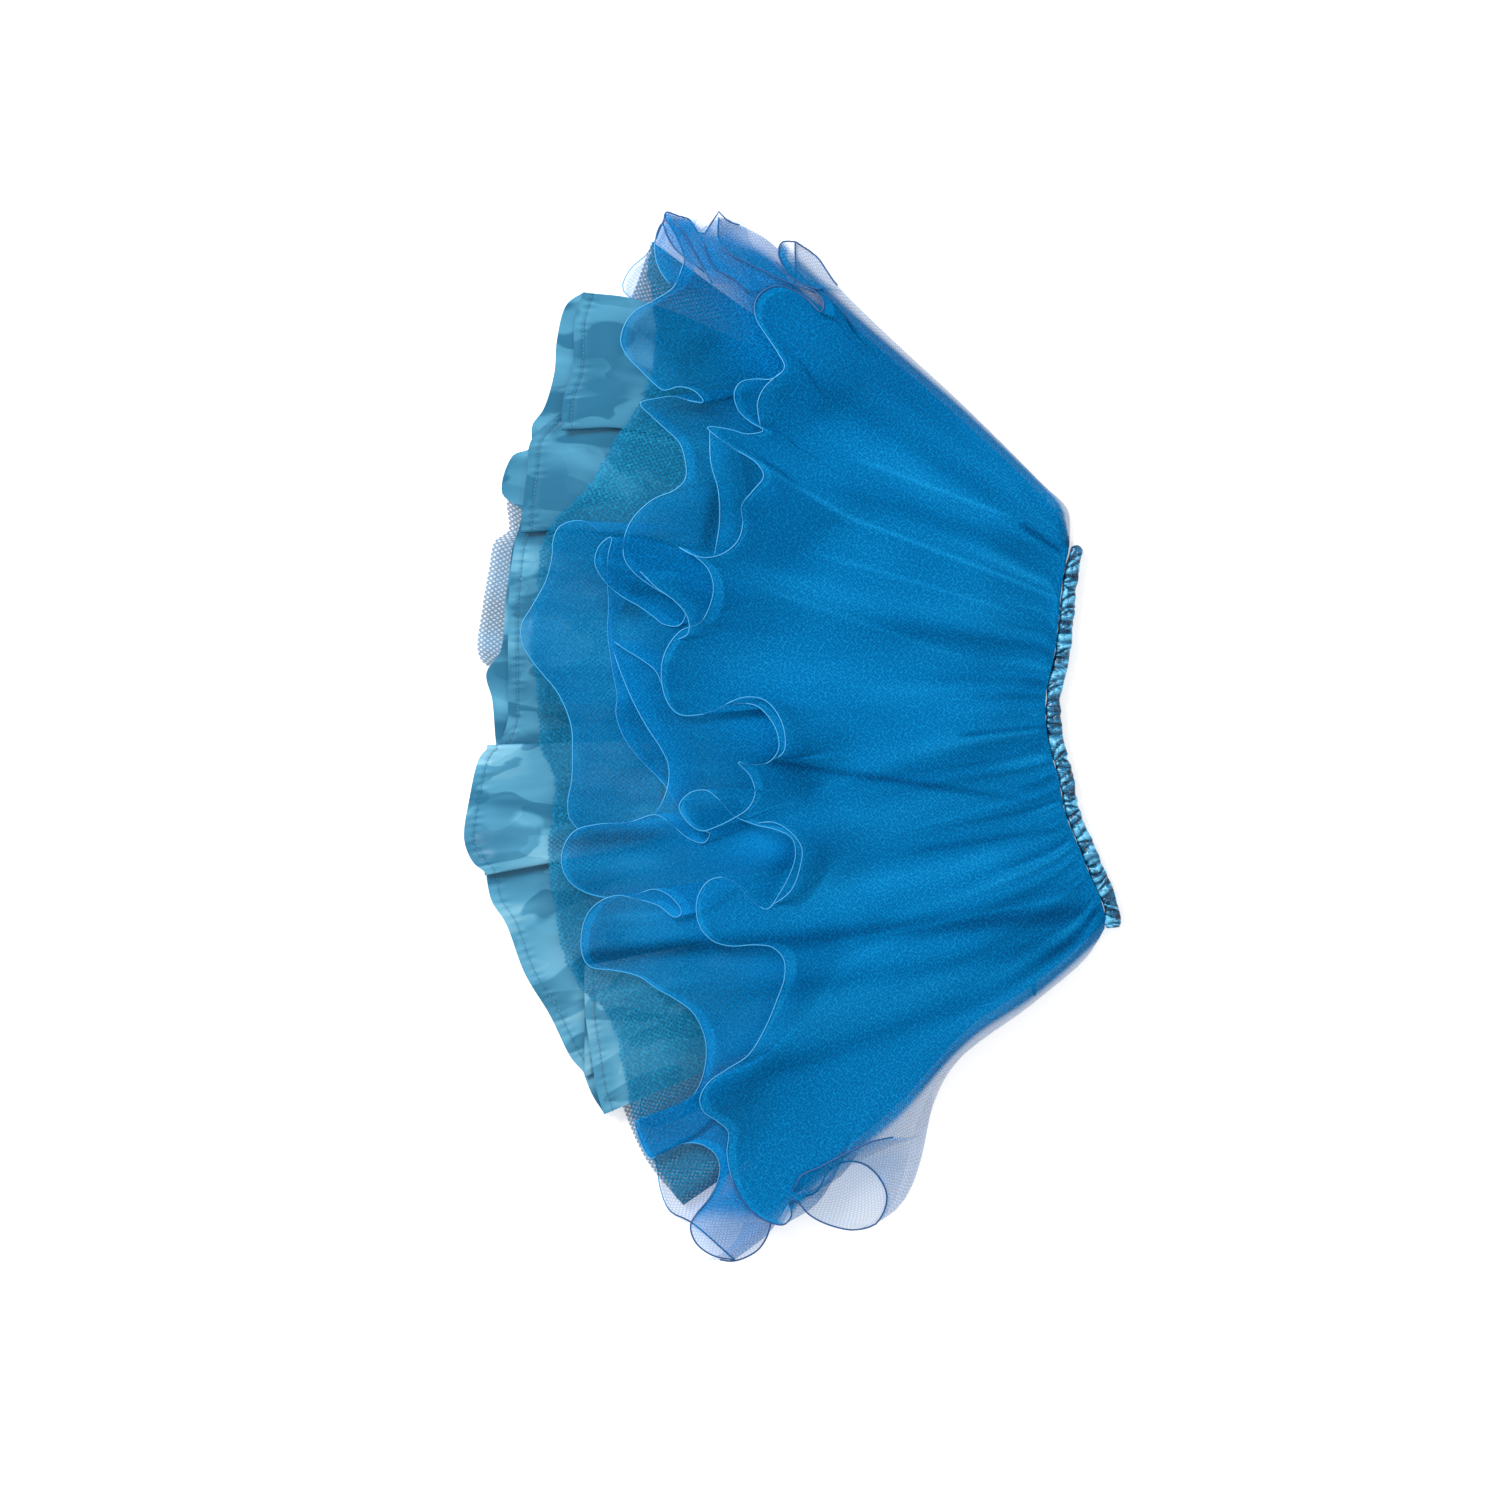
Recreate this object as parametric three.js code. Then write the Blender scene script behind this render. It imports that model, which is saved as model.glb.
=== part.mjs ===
// A gathered tulle skirt laid flat on a table, in millimetres.
// +X runs from the hem to the waist, +Y across the skirt to one side seam, +Z up off the table.
// Four tubes of cloth hang from one elastic waistband: two of soft tulle with a fine rolled edge,
// one of coarse stiff net, and a satin lining, the longest, whose front lies in knife folds.
// Laid flat, each tube is a back and a front panel that meet along the two side folds.
import * as THREE from "three";

// ---- driving dimensions -------------------------------------------------------------------
const CLOTH = 1.0; // wall of one layer
const GAP = 0.3; // between layers that touch, and at seams
const STEP = CLOTH + GAP; // height that one pressed layer takes
const RIBBON = 0.8; // wall of the hanger ribbon
const RIBBON_WIDTH = 3.2;
const RIBBON_SLOT = 2 * GAP + RIBBON; // free height between the two back tulle panels
const AIR = 1.6; // extra height between the front layers, away from the waist
const AIR_START = 60; // distance from the waist over which that height builds up
const BAND_WIDTH = 12; // waistband, seam edge to top edge
const BAND_RISE = 5.4; // height of its front run
const BAND_PUFF = 0.6; // how far a gather swells past the band's top edge
const BAND_GATHERS = 46; // gathers seen along one run of the waistband
const GATHER_DEPTH = 1.1; // how far a gather stands out of the band
const ROLL = 11; // width over which a front panel turns down to its back panel
const SEAM_ROOM = 0.6; // between the waistband and the panels sewn to it
const NEST = 4.2; // each tube starts this much inside the one around it
const CORNER = 6; // room between a turned side and the first station across the panel
const HEM_TURN = 0.4; // extra thickness where the lining's hem is turned up
const FOLD_RISE = 6.4; // height of a knife fold of the lining over the cloth under it
const LAP_SHARE = 1.1; // share of its length that a lap's cloth takes at the gathered waist
const FOLD_SPREAD = 42; // width over which the panel on top of a fold comes down, at least
const FOLD_SPREAD_PER_LAP = 2.4; // and in laps
const FOLD_FADES_FROM = 0.8; // share of the way to the waist from which a fold fades out
const FOLD_DROP = 28; // width over which the layers above come down off a fold
const DROOP = 5.4; // how far the lining hangs below the back panels once past their hems
const DROOP_FROM = 5; // distance past the back lining's hem where it starts to come down
const DROOP_TO = 30; // and where it is down
const WAVE_CALM = 0.25; // evens a ruffle's waves out away from its hem

// Heights of the undersides of the pressed back layers, from the table up.
const Z_BACK = { outer: 0, inner: CLOTH + RIBBON_SLOT, net: 0, lining: 0 };
Z_BACK.net = Z_BACK.inner + STEP;
Z_BACK.lining = Z_BACK.net + STEP;
const Z_FRONT = Z_BACK.lining + STEP; // underside of the front lining
const Z_RIBBON = CLOTH + GAP;

// ---- tables: places on the table top, x then y ---------------------------------------------
// Middle line of the waistband, from the upper side fold to the lower one.
const BAND_LINE = [
  [234, 157], [228, 129], [225, 100], [221, 66], [214, 32], [216, -3],
  [224, -32], [230, -62], [241, -89], [251, -114], [261, -138], [263, -157],
];

// Side folds of each tube, from the waist to the hem.
const SIDES = {
  outer: {
    upper: [[226, 187], [206, 207], [144, 269], [73, 335], [34, 374], [20, 394], [2, 407]],
    lower: [[242, -181], [198, -219], [129, -272], [104, -314], [88, -369], [77, -391], [57, -405]],
  },
  inner: {
    upper: [
      [219, 181], [203, 199], [140, 259], [55, 333], [6, 381], [-23, 410], [-57, 424], [-104, 427],
    ],
    lower: [[198, -203], [146, -238], [84, -304], [29, -350], [-2, -382], [-19, -407], [-48, -430]],
  },
  net: {
    upper: [[47, 288], [-116, 407]],
    lower: [[84, -265], [-90, -385]],
  },
  lining: {
    upper: [[47, 276], [-121, 357], [-172, 365]],
    lower: [[47, -224], [-155, -310]],
  },
};

// Hem of the front outer tulle: one row for each turn of its ruffle.
const HEM_FRONT_OUTER = [
  [-12, 399], [-22, 384], [-30, 364], [-30, 343], [-13, 319],
  [-4, 297], [-17, 282], [-45, 276], [-42, 260], [-66, 246], [-31, 221], [2, 195], [-40, 184],
  [-43, 169], [-68, 148], [-66, 122], [-75, 94], [-99, 77], [-107, 46], [-99, 27], [-72, 19],
  [-45, 14], [-23, 7], [-12, -9], [-39, -23], [-32, -46], [-53, -67], [-30, -78], [-2, -86],
  [0, -97], [-16, -110], [-43, -126], [-66, -138], [-78, -150], [-66, -167], [-39, -171],
  [-16, -177], [-7, -196], [-16, -220], [-36, -248], [-62, -284], [-74, -300], [-63, -318],
  [-54, -341], [-43, -372], [-19, -380], [5, -386], [18, -394], [35, -401],
];

// Hem of the front inner tulle.
const HEM_FRONT_INNER = [
  [-99, 407], [-90, 389], [-99, 366], [-129, 348],
  [-140, 327], [-129, 304], [-112, 286], [-125, 273], [-106, 251], [-89, 225], [-97, 200],
  [-121, 187], [-158, 179], [-191, 169], [-196, 148], [-213, 107], [-222, 82], [-205, 51],
  [-187, 23], [-180, -11], [-184, -46], [-130, -60], [-166, -72], [-187, -90], [-189, -106],
  [-171, -123], [-138, -130], [-162, -140], [-172, -160], [-171, -181], [-148, -191],
  [-112, -206], [-80, -229], [-71, -254], [-77, -283], [-97, -305], [-119, -333], [-110, -344],
  [-89, -346], [-66, -353], [-66, -368], [-78, -386], [-82, -406], [-71, -423],
];

// Raw-cut hem of the front net.
const HEM_FRONT_NET = [
  [-119, 386], [-113, 333], [-121, 284], [-146, 243], [-166, 209], [-201, 168], [-212, 112],
  [-215, 71], [-210, 38], [-207, -5], [-197, -32], [-196, -52], [-201, -93], [-198, -127],
  [-186, -185], [-173, -208], [-153, -226], [-139, -274], [-134, -302], [-125, -333],
  [-113, -351],
];

// Hem of each lining panel that shows between two knife folds, from the upper side down.
const LINING_PANELS = [
  [[-179, 342], [-181, 301], [-188, 278]],
  [[-215, 243], [-218, 219], [-221, 194]],
  [[-229, 155], [-233, 120], [-234, 79], [-234, 38], [-235, 10]],
  [[-257, -17], [-266, -52], [-270, -85], [-262, -104]],
  [[-248, -134], [-236, -153], [-220, -195], [-200, -228], [-182, -264]],
  [[-171, -205], [-170, -230], [-166, -257], [-161, -290]],
];

// Knife folds between those panels: the outer crease at the hem, the side that lies on top
// (1 the upper panel, -1 the lower one), and how far the cloth laps back under it.
const LINING_FOLDS = [
  { x: -190, y: 251, over: 1, lap: 20 },
  { x: -223, y: 167, over: 1, lap: 15 },
  { x: -251, y: -7, over: -1, lap: 22 },
  { x: -253, y: -114, over: 1, lap: 16 },
  { x: -171, y: -188, over: -1, lap: 92 },
];

// Hems of the back panels, where they reach past the front or lie under it.
const HEM_BACK_LINING = [
  [-186, 355], [-194, 325], [-196, 299], [-205, 269], [-214, 256], [-216, 237], [-230, 231],
  [-239, 200], [-222, 184], [-230, 157], [-236, 112], [-240, 71], [-252, 52], [-247, 30],
  [-244, -5], [-236, -52], [-236, -101], [-224, -159], [-199, -216], [-179, -257], [-165, -294],
];
const HEM_BACK_NET = [
  [-134, 358], [-175, 276], [-203, 243], [-224, 219], [-235, 194], [-234, 169], [-245, 161],
  [-250, 137], [-255, 108], [-259, 69], [-253, 59], [-224, 56], [-216, -5], [-220, -93],
  [-212, -134], [-195, -183], [-166, -224], [-142, -298], [-121, -347],
];
const HEM_BACK_INNER = [
  [-119, 398], [-134, 384], [-140, 368], [-121, 350], [-117, 325],
  [-142, 260], [-158, 210], [-166, 145], [-158, 79], [-150, 14], [-158, -52], [-166, -118],
  [-158, -175], [-142, -232], [-125, -282], [-125, -323], [-113, -347], [-109, -372],
  [-101, -390], [-84, -399],
];
const HEM_BACK_OUTER = [
  [0, 368], [-27, 337], [-43, 292], [-60, 235], [-76, 161], [-84, 96], [-76, 30], [-84, -36],
  [-76, -101], [-84, -175], [-76, -241], [-68, -290], [-43, -323], [6, -351], [47, -372],
];

// Long creases that fan out from the gathers: waist end, hem end, height and half width.
const CREASES = [
  { from: [215, 40], to: [30, -46], rise: 3.2, width: 24 },
  { from: [244, -170], to: [-76, -216], rise: 3.0, width: 26 },
  { from: [222, 140], to: [10, 210], rise: 2.8, width: 25 },
  { from: [218, 90], to: [-60, 130], rise: 2.4, width: 28 },
  { from: [226, -60], to: [-60, -110], rise: 2.6, width: 26 },
  { from: [214, 10], to: [-80, 40], rise: 2.2, width: 24 },
  { from: [240, -110], to: [-20, -260], rise: 2.4, width: 26 },
];

// Ruffled edges: how far out the deepest wave reaches, how far a crest draws the edge in,
// how high that crest stands, and the size of one wave along and across the edge.
const RUFFLES = {
  inner: { reach: -225, draw: 130, rise: 10, along: 15, across: 36 },
  outer: { reach: -112, draw: 100, rise: 11, along: 16, across: 34 },
};
const RUFFLE_FLAT_FROM = 290; // past this distance from the middle a ruffle lies down
const RUFFLE_FLAT_OVER = 70;

// Stations from the waist (0) to the hem (1) of each front panel.
const DOWN = {
  lining: [0, 0.053, 0.12, 0.2, 0.235, 0.27, 0.32, 0.5, 0.72, 0.88, 0.975, 1],
  net: [0, 0.058, 0.133, 0.24, 0.34, 0.52, 0.7, 0.85, 1],
  inner: [0, 0.062, 0.143, 0.26, 0.36, 0.5, 0.65, 0.78, 0.9, 1],
  outer: [0, 0.08, 0.18, 0.33, 0.47, 0.62, 0.77, 0.9, 1],
};
const BOW_FULL = 0.93; // share of the way to a side fold from which the panel follows its curve
const BOW_NONE = 0.45; // and below which it lies straight
const STATION = 21; // longest step between two stations along a hem
const ROLL_STEPS = [0, 3, 6.5, ROLL]; // stations of a side fold, measured in from its edge

const COLOURS = {
  tulle: { color: 0x1277b8, roughness: 0.75, metalness: 0 },
  innerTulle: { color: 0x1583b4, roughness: 0.75, metalness: 0 },
  net: { color: 0x1c7fa0, roughness: 0.8, metalness: 0 },
  satin: { color: 0x3f93bb, roughness: 0.35, metalness: 0 },
  band: { color: 0x2a86b4, roughness: 0.4, metalness: 0 },
  ribbon: { color: 0x2f5f75, roughness: 0.5, metalness: 0 },
};

// ---- small helpers ------------------------------------------------------------------------
const flat = ([x, y]) => new THREE.Vector3(x, y, 0);
const smooth = (a, b, v) => THREE.MathUtils.smoothstep(v, a, b);
const spline = (points) => new THREE.CatmullRomCurve3(points, false, "centripetal");

// Point of a polyline's smooth curve at a share of its length, from 0 to 1.
function along(curve, share) {
  return curve.getPointAt(THREE.MathUtils.clamp(share, 0, 1));
}

// The seam edge of the waistband, moved off its middle line towards the hem.
const SEAM_POINTS = 24;
function seamLine() {
  const middle = spline(BAND_LINE.map(flat));
  const points = [];
  for (let i = 0; i <= SEAM_POINTS; i += 1) {
    const share = i / SEAM_POINTS;
    const tangent = middle.getTangentAt(share);
    const towardsHem = new THREE.Vector3(tangent.y, -tangent.x, 0);
    points.push(middle.getPointAt(share).addScaledVector(towardsHem, BAND_WIDTH / 2 + SEAM_ROOM));
  }
  return spline(points);
}
const SEAM = seamLine();
const SEAM_LENGTH = SEAM.getLength();

// How many tubes lie around each one: its waist edge starts that many nests further in.
const NESTS = { outer: 0, inner: 1, net: 2, lining: 4.3 };

// The part of the waist seam that a tube is sewn to, at a share of that tube's own width.
function waistPoint(tube, share) {
  const inset = (NESTS[tube] * NEST) / SEAM_LENGTH;
  return along(SEAM, inset + share * (1 - 2 * inset));
}

// The two side folds of a tube, as curves from the waist to the hem corner.
function sideCurves(tube) {
  const { upper, lower } = SIDES[tube];
  return {
    upper: spline([waistPoint(tube, 0), ...upper.map(flat)]),
    lower: spline([waistPoint(tube, 1), ...lower.map(flat)]),
  };
}

// ---- heights ------------------------------------------------------------------------------
// Distance of a point from the line a to b, signed, and its share of the way along.
function fromLine(x, y, a, b) {
  const dx = b[0] - a[0];
  const dy = b[1] - a[1];
  const length = Math.hypot(dx, dy);
  return {
    side: ((x - a[0]) * dy - (y - a[1]) * dx) / length,
    share: ((x - a[0]) * dx + (y - a[1]) * dy) / (length * length),
  };
}

// Height that the fan creases give every front layer.
function creaseHeight(x, y) {
  let height = 0;
  for (const { from, to, rise, width } of CREASES) {
    const { side, share } = fromLine(x, y, from, to);
    const window = smooth(0.04, 0.3, share) * (1 - smooth(0.7, 1.05, share));
    height += rise * window * Math.exp(-((side / width) ** 2));
  }
  return height;
}

// Height of one knife fold at a point: full on the panel that lies on top, fading across it,
// and gone a little way past the crease, sooner for the cloth under it than for that above.
function foldHeight(fold, x, y) {
  const { side, share } = fromLine(x, y, [fold.x, fold.y], fold.waist);
  const top = -side * fold.over;
  const spread = Math.max(FOLD_SPREAD, FOLD_SPREAD_PER_LAP * fold.lap);
  const width = top > 0 ? spread : FOLD_DROP;
  const fade = 1 - smooth(FOLD_FADES_FROM, 1, share);
  return FOLD_RISE * fade * Math.exp(-((top / width) ** 2));
}

// Edge of the back lining at a given y, which the front lining droops past.
function backLiningEdge(y) {
  const rows = HEM_BACK_LINING;
  let i = rows.findIndex((row) => row[1] < y);
  if (i <= 0) return i === 0 ? rows[0][0] : rows[rows.length - 1][0];
  const [xa, ya] = rows[i - 1];
  const [xb, yb] = rows[i];
  return xa + ((xb - xa) * (ya - y)) / (ya - yb);
}

// Underside height of the pressed stack under the front panels, which bridges small notches.
const EDGE_REACH = 8;
function restingHeight(x, y) {
  const edges = [y - EDGE_REACH, y, y + EDGE_REACH].map(backLiningEdge);
  return Z_FRONT - DROOP * smooth(DROOP_FROM, DROOP_TO, Math.min(...edges) - x);
}

// Height of a ruffled edge's waves at a point, from the rows of its hem.
function ruffleHeight(hem, { reach, draw, rise, along: wave, across }, x, y) {
  let sum = 0;
  let weight = WAVE_CALM;
  for (const [hx, hy] of hem) {
    const near = Math.exp(-(((x - hx) / across) ** 2) - ((y - hy) / wave) ** 2);
    const lift = THREE.MathUtils.clamp((hx - reach) / draw, 0, 1);
    const lie = 1 - smooth(0, RUFFLE_FLAT_OVER, Math.abs(hy) - RUFFLE_FLAT_FROM);
    sum += near * rise * lift * lie;
    weight += near;
  }
  return sum / weight;
}

// Distance of a point from the waist seam, by its nearest sampled point.
const SEAM_SAMPLES = SEAM.getSpacedPoints(30);
function fromSeam(x, y) {
  return Math.min(...SEAM_SAMPLES.map((p) => Math.hypot(p.x - x, p.y - y)));
}

const FRONT_ORDER = ["lining", "net", "inner", "outer"];

// Middle height of a front layer at a point, with everything that lies under it.
function frontHeight(tube, x, y) {
  const level = FRONT_ORDER.indexOf(tube);
  const loose = Math.min(fromSeam(x, y) / AIR_START, 1);
  let height = restingHeight(x, y) + CLOTH / 2 + level * (STEP + AIR * loose);
  height += creaseHeight(x, y);
  if (level > 0) for (const fold of LINING_FOLDS) height += foldHeight(fold, x, y);
  if (level > 1) height += ruffleHeight(HEM_FRONT_INNER, RUFFLES.inner, x, y);
  if (level > 2) height += ruffleHeight(HEM_FRONT_OUTER, RUFFLES.outer, x, y);
  return height;
}

// ---- walls --------------------------------------------------------------------------------
// Closed wall around a grid of middle points, columns[i][j], i across the panel and j from
// waist to hem. extra(i, j) thickens the outer face alone.
function wallGeometry(columns, extra = () => 0) {
  const across = columns.length;
  const down = columns[0].length;
  const at = (i, j) =>
    columns[THREE.MathUtils.clamp(i, 0, across - 1)][THREE.MathUtils.clamp(j, 0, down - 1)];
  const top = [];
  const bottom = [];
  for (let i = 0; i < across; i += 1) {
    for (let j = 0; j < down; j += 1) {
      const acrossStep = at(i + 1, j).clone().sub(at(i - 1, j));
      const downStep = at(i, j + 1).clone().sub(at(i, j - 1));
      const normal = downStep.cross(acrossStep).normalize();
      top.push(at(i, j).clone().addScaledVector(normal, CLOTH / 2 + extra(i, j)));
      bottom.push(at(i, j).clone().addScaledVector(normal, -CLOTH / 2));
    }
  }
  const points = [...top, ...bottom];
  const id = (i, j, side) => side * top.length + i * down + j;
  const faces = [];
  const quad = (a, b, c, d) => faces.push(a, b, c, a, c, d);
  for (let i = 0; i < across - 1; i += 1) {
    for (let j = 0; j < down - 1; j += 1) {
      quad(id(i, j, 0), id(i, j + 1, 0), id(i + 1, j + 1, 0), id(i + 1, j, 0));
      quad(id(i, j, 1), id(i + 1, j, 1), id(i + 1, j + 1, 1), id(i, j + 1, 1));
    }
  }
  for (let i = 0; i < across - 1; i += 1) {
    quad(id(i, 0, 0), id(i + 1, 0, 0), id(i + 1, 0, 1), id(i, 0, 1));
    quad(id(i, down - 1, 0), id(i, down - 1, 1), id(i + 1, down - 1, 1), id(i + 1, down - 1, 0));
  }
  for (let j = 0; j < down - 1; j += 1) {
    quad(id(0, j, 0), id(0, j, 1), id(0, j + 1, 1), id(0, j + 1, 0));
    quad(id(across - 1, j, 0), id(across - 1, j + 1, 0), id(across - 1, j + 1, 1),
      id(across - 1, j, 1));
  }
  return indexedGeometry(points, faces);
}

function indexedGeometry(points, faces) {
  const geometry = new THREE.BufferGeometry().setFromPoints(points);
  geometry.setIndex(faces);
  geometry.computeVertexNormals();
  return geometry;
}

// A mesh of one layer, named and coloured.
function piece(name, geometry, finish) {
  const mesh = new THREE.Mesh(geometry, new THREE.MeshStandardMaterial(COLOURS[finish]));
  mesh.name = name;
  return mesh;
}

// ---- front panels -------------------------------------------------------------------------
// Point of a panel between its waist and hem points, pulled towards the curve of its nearer
// side fold so that the panel's edge follows that fold.
function panelPoint(tube, sides, waistShare, hem, down) {
  const waist = waistPoint(tube, waistShare);
  const point = waist.clone().lerp(hem, down);
  for (const [name, near] of [["upper", 1 - waistShare], ["lower", waistShare]]) {
    const curve = sides[name];
    const straight = curve.points[0].clone().lerp(curve.points[curve.points.length - 1], down);
    const bow = along(curve, down).sub(straight);
    point.addScaledVector(bow, smooth(BOW_NONE, BOW_FULL, near));
  }
  return point;
}

// Column of a side fold: a distance in from the edge, along the seam's direction at the waist
// and square to the edge from a little way down.
const SEAM_LOOK = 0.04; // share of the seam that gives its direction
const SEAM_TURN = 0.16; // share of the way down where the column is square to the edge
function rollPoint(tube, sides, name, inward, down) {
  const curve = sides[name];
  const edge = along(curve, down);
  const tangent = curve.getTangentAt(THREE.MathUtils.clamp(down, 0.01, 0.99));
  const turn = name === "upper" ? 1 : -1;
  const side = new THREE.Vector3(-tangent.y * turn, tangent.x * turn, 0);
  const [start, far] = name === "upper" ? [0, SEAM_LOOK] : [1, 1 - SEAM_LOOK];
  const seamward = waistPoint(tube, far).sub(waistPoint(tube, start));
  side.lerp(seamward.normalize(), 1 - smooth(0, SEAM_TURN, down)).normalize();
  return edge.addScaledVector(side, inward);
}

// Shares of the waist that the hem stations take, by the cloth's length along the hem.
function hemStations(tube, rows) {
  const { upper, lower } = SIDES[tube];
  const ends = [upper[upper.length - 1], ...rows, lower[lower.length - 1]].map(flat);
  const curve = spline(ends);
  const stations = [];
  let run = 0;
  for (let i = 0; i < ends.length - 1; i += 1) {
    const chord = ends[i].distanceTo(ends[i + 1]);
    const steps = Math.max(1, Math.round(chord / STATION));
    for (let k = 0; k < steps; k += 1) {
      const hem = curve.getPoint((i + k / steps) / (ends.length - 1));
      stations.push({ hem, run: run + (chord * k) / steps });
    }
    run += chord;
  }
  return stations.slice(1).map(({ hem, run: at }) => ({ hem, waistShare: at / run }));
}

// A front panel whose sides turn down to its back panel, and whose hem follows its rows.
function frontPanel(tube, rows) {
  const sides = sideCurves(tube);
  const edgeHeight = Z_BACK[tube] + STEP + CLOTH / 2;
  const inner = hemStations(tube, rows).filter(
    ({ waistShare }) => Math.min(waistShare, 1 - waistShare) * SEAM_LENGTH > ROLL + CORNER,
  );
  const column = (place, roll) =>
    DOWN[tube].map((down) => {
      const point = place(down);
      const full = frontHeight(tube, point.x, point.y);
      point.z = edgeHeight + (full - edgeHeight) * roll;
      return point;
    });
  const rollColumns = (name) =>
    ROLL_STEPS.map((inward) =>
      column(
        (down) => rollPoint(tube, sides, name, inward, down),
        Math.sin((Math.PI / 2) * (inward / ROLL)),
      ));
  const columns = [
    ...rollColumns("upper"),
    ...inner.map(({ hem, waistShare }) =>
      column((down) => panelPoint(tube, sides, waistShare, hem, down), 1)),
    ...rollColumns("lower").reverse(),
  ];
  return wallGeometry(columns);
}

// A knife fold's cloth, from the panel on top to the one below: the crease, then the under
// crease one lap back. Each is rounded by three stations: lift is the share of the fold's
// height there, and back how far the station stands behind the crease.
const CREASE = [
  { lift: 0.96, back: 3 },
  { lift: 0.77, back: 0 },
  { lift: 0.58, back: 3 },
];
const UNDER_CREASE = [
  { lift: 0.42, back: -3 },
  { lift: 0.23, back: 0 },
  { lift: 0.04, back: -3 },
];

// Stations of the front lining in the order of its cloth, from the upper side down. lifts[k]
// is the share of fold k's height at a station.
function liningStations() {
  const { upper, lower } = SIDES.lining;
  const stations = [];
  const lifts = LINING_FOLDS.map(({ over }) => (over > 0 ? 1 : 0));
  const add = (x, y, cloth) => stations.push({ x, y, cloth, lifts: [...lifts] });
  add(...upper[upper.length - 1], 0);
  LINING_PANELS.forEach((panel, index) => {
    panel.forEach(([x, y]) => add(x, y, 1));
    const fold = LINING_FOLDS[index];
    if (!fold) return;
    const { x, y, over, lap } = fold;
    const rows = [
      ...CREASE.map(({ lift, back }) => [lift, y + over * back]),
      ...UNDER_CREASE.map(({ lift, back }) => [lift, y + over * (lap + back)]),
    ];
    for (const [lift, at] of over > 0 ? rows : rows.reverse()) {
      lifts[index] = lift;
      add(x, at, LAP_SHARE);
    }
    lifts[index] = over > 0 ? 0 : 1;
  });
  add(...lower[lower.length - 1], 1);
  return stations;
}

// The front lining: knife folds, lapped at the hem and fading out towards the waist.
function frontLining() {
  const tube = "lining";
  const sides = sideCurves(tube);
  const stations = liningStations();
  let run = 0;
  stations.forEach((station, i) => {
    const last = stations[Math.max(i - 1, 0)];
    run += Math.hypot(station.x - last.x, station.y - last.y) * station.cloth;
    station.run = run;
  });
  stations.forEach((station) => {
    station.share = station.run / run;
    station.hem = flat([station.x, station.y]);
  });
  LINING_FOLDS.forEach((fold) => {
    const crease = stations.find(({ x, y }) => x === fold.x && y === fold.y);
    const waist = waistPoint(tube, crease.share);
    fold.waist = [waist.x, waist.y];
  });
  const columns = stations.map(({ hem, share, lifts }) =>
    DOWN[tube].map((down) => {
      const point = panelPoint(tube, sides, share, hem, down);
      point.z = frontHeight(tube, point.x, point.y);
      LINING_FOLDS.forEach((fold, k) => {
        point.z += lifts[k] * foldHeight(fold, point.x, point.y);
      });
      return point;
    }));
  const turned = DOWN[tube].length - 2;
  return wallGeometry(columns, (i, j) => (j >= turned ? HEM_TURN : 0));
}

// ---- back panels --------------------------------------------------------------------------
// A pressed back panel: the outline of its tube with its own hem, one wall thick.
const SIDE_POINTS = 9;
const POINTS_PER_ROW = 1.6;
function backPanel(tube, rows) {
  const sides = sideCurves(tube);
  const { upper, lower } = SIDES[tube];
  const hem = spline([upper[upper.length - 1], ...rows, lower[lower.length - 1]].map(flat));
  const seam = [];
  for (let i = 1; i < SEAM_POINTS; i += 1) seam.push(waistPoint(tube, 1 - i / SEAM_POINTS));
  const outline = [
    ...sides.upper.getSpacedPoints(SIDE_POINTS),
    ...hem.getPoints(Math.round((rows.length + 1) * POINTS_PER_ROW)).slice(1),
    ...sides.lower.getSpacedPoints(SIDE_POINTS).reverse().slice(1),
    ...seam,
  ];
  const shape = new THREE.Shape(outline.map(({ x, y }) => new THREE.Vector2(x, y)));
  const geometry = new THREE.ExtrudeGeometry(shape, { depth: CLOTH, bevelEnabled: false });
  return geometry.translate(0, 0, Z_BACK[tube]);
}

// ---- waistband ----------------------------------------------------------------------------
// One run of the gathered casing along the band's middle line: flat below, and above it
// swells and pinches from gather to gather.
const SHOULDER = 0.6; // share of its height where the casing's sides round over
function bandRun(base, height, gathers, perGather) {
  const middle = spline(BAND_LINE.map(flat));
  const half = BAND_WIDTH / 2;
  const steps = gathers * perGather;
  const rings = [];
  for (let i = 0; i <= steps; i += 1) {
    const share = i / steps;
    const centre = middle.getPointAt(share);
    const tangent = middle.getTangentAt(share);
    const out = new THREE.Vector3(-tangent.y, tangent.x, 0);
    const pinch = i % perGather === 0 ? 1 : 0;
    const top = height - GATHER_DEPTH * pinch;
    const edge = half + BAND_PUFF * (1 - pinch);
    const shoulder = top * SHOULDER;
    const section = [
      [-half, 0], [edge, 0], [edge, shoulder],
      [half / 2, top], [-half / 2, top], [-half, shoulder],
    ];
    rings.push(section.map(([across, up]) =>
      centre.clone().addScaledVector(out, across).setZ(base + up)));
  }
  return sweptGeometry(rings);
}

// Closed solid through rings of points, each ring turning the same way.
function sweptGeometry(rings) {
  const sides = rings[0].length;
  const faces = [];
  const id = (i, k) => i * sides + (k % sides);
  for (let i = 0; i < rings.length - 1; i += 1) {
    for (let k = 0; k < sides; k += 1) {
      faces.push(id(i, k), id(i, k + 1), id(i + 1, k + 1));
      faces.push(id(i, k), id(i + 1, k + 1), id(i + 1, k));
    }
  }
  const last = rings.length - 1;
  for (let k = 1; k < sides - 1; k += 1) {
    faces.push(id(0, 0), id(0, k + 1), id(0, k));
    faces.push(id(last, 0), id(last, k), id(last, k + 1));
  }
  return indexedGeometry(rings.flat(), faces);
}

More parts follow.
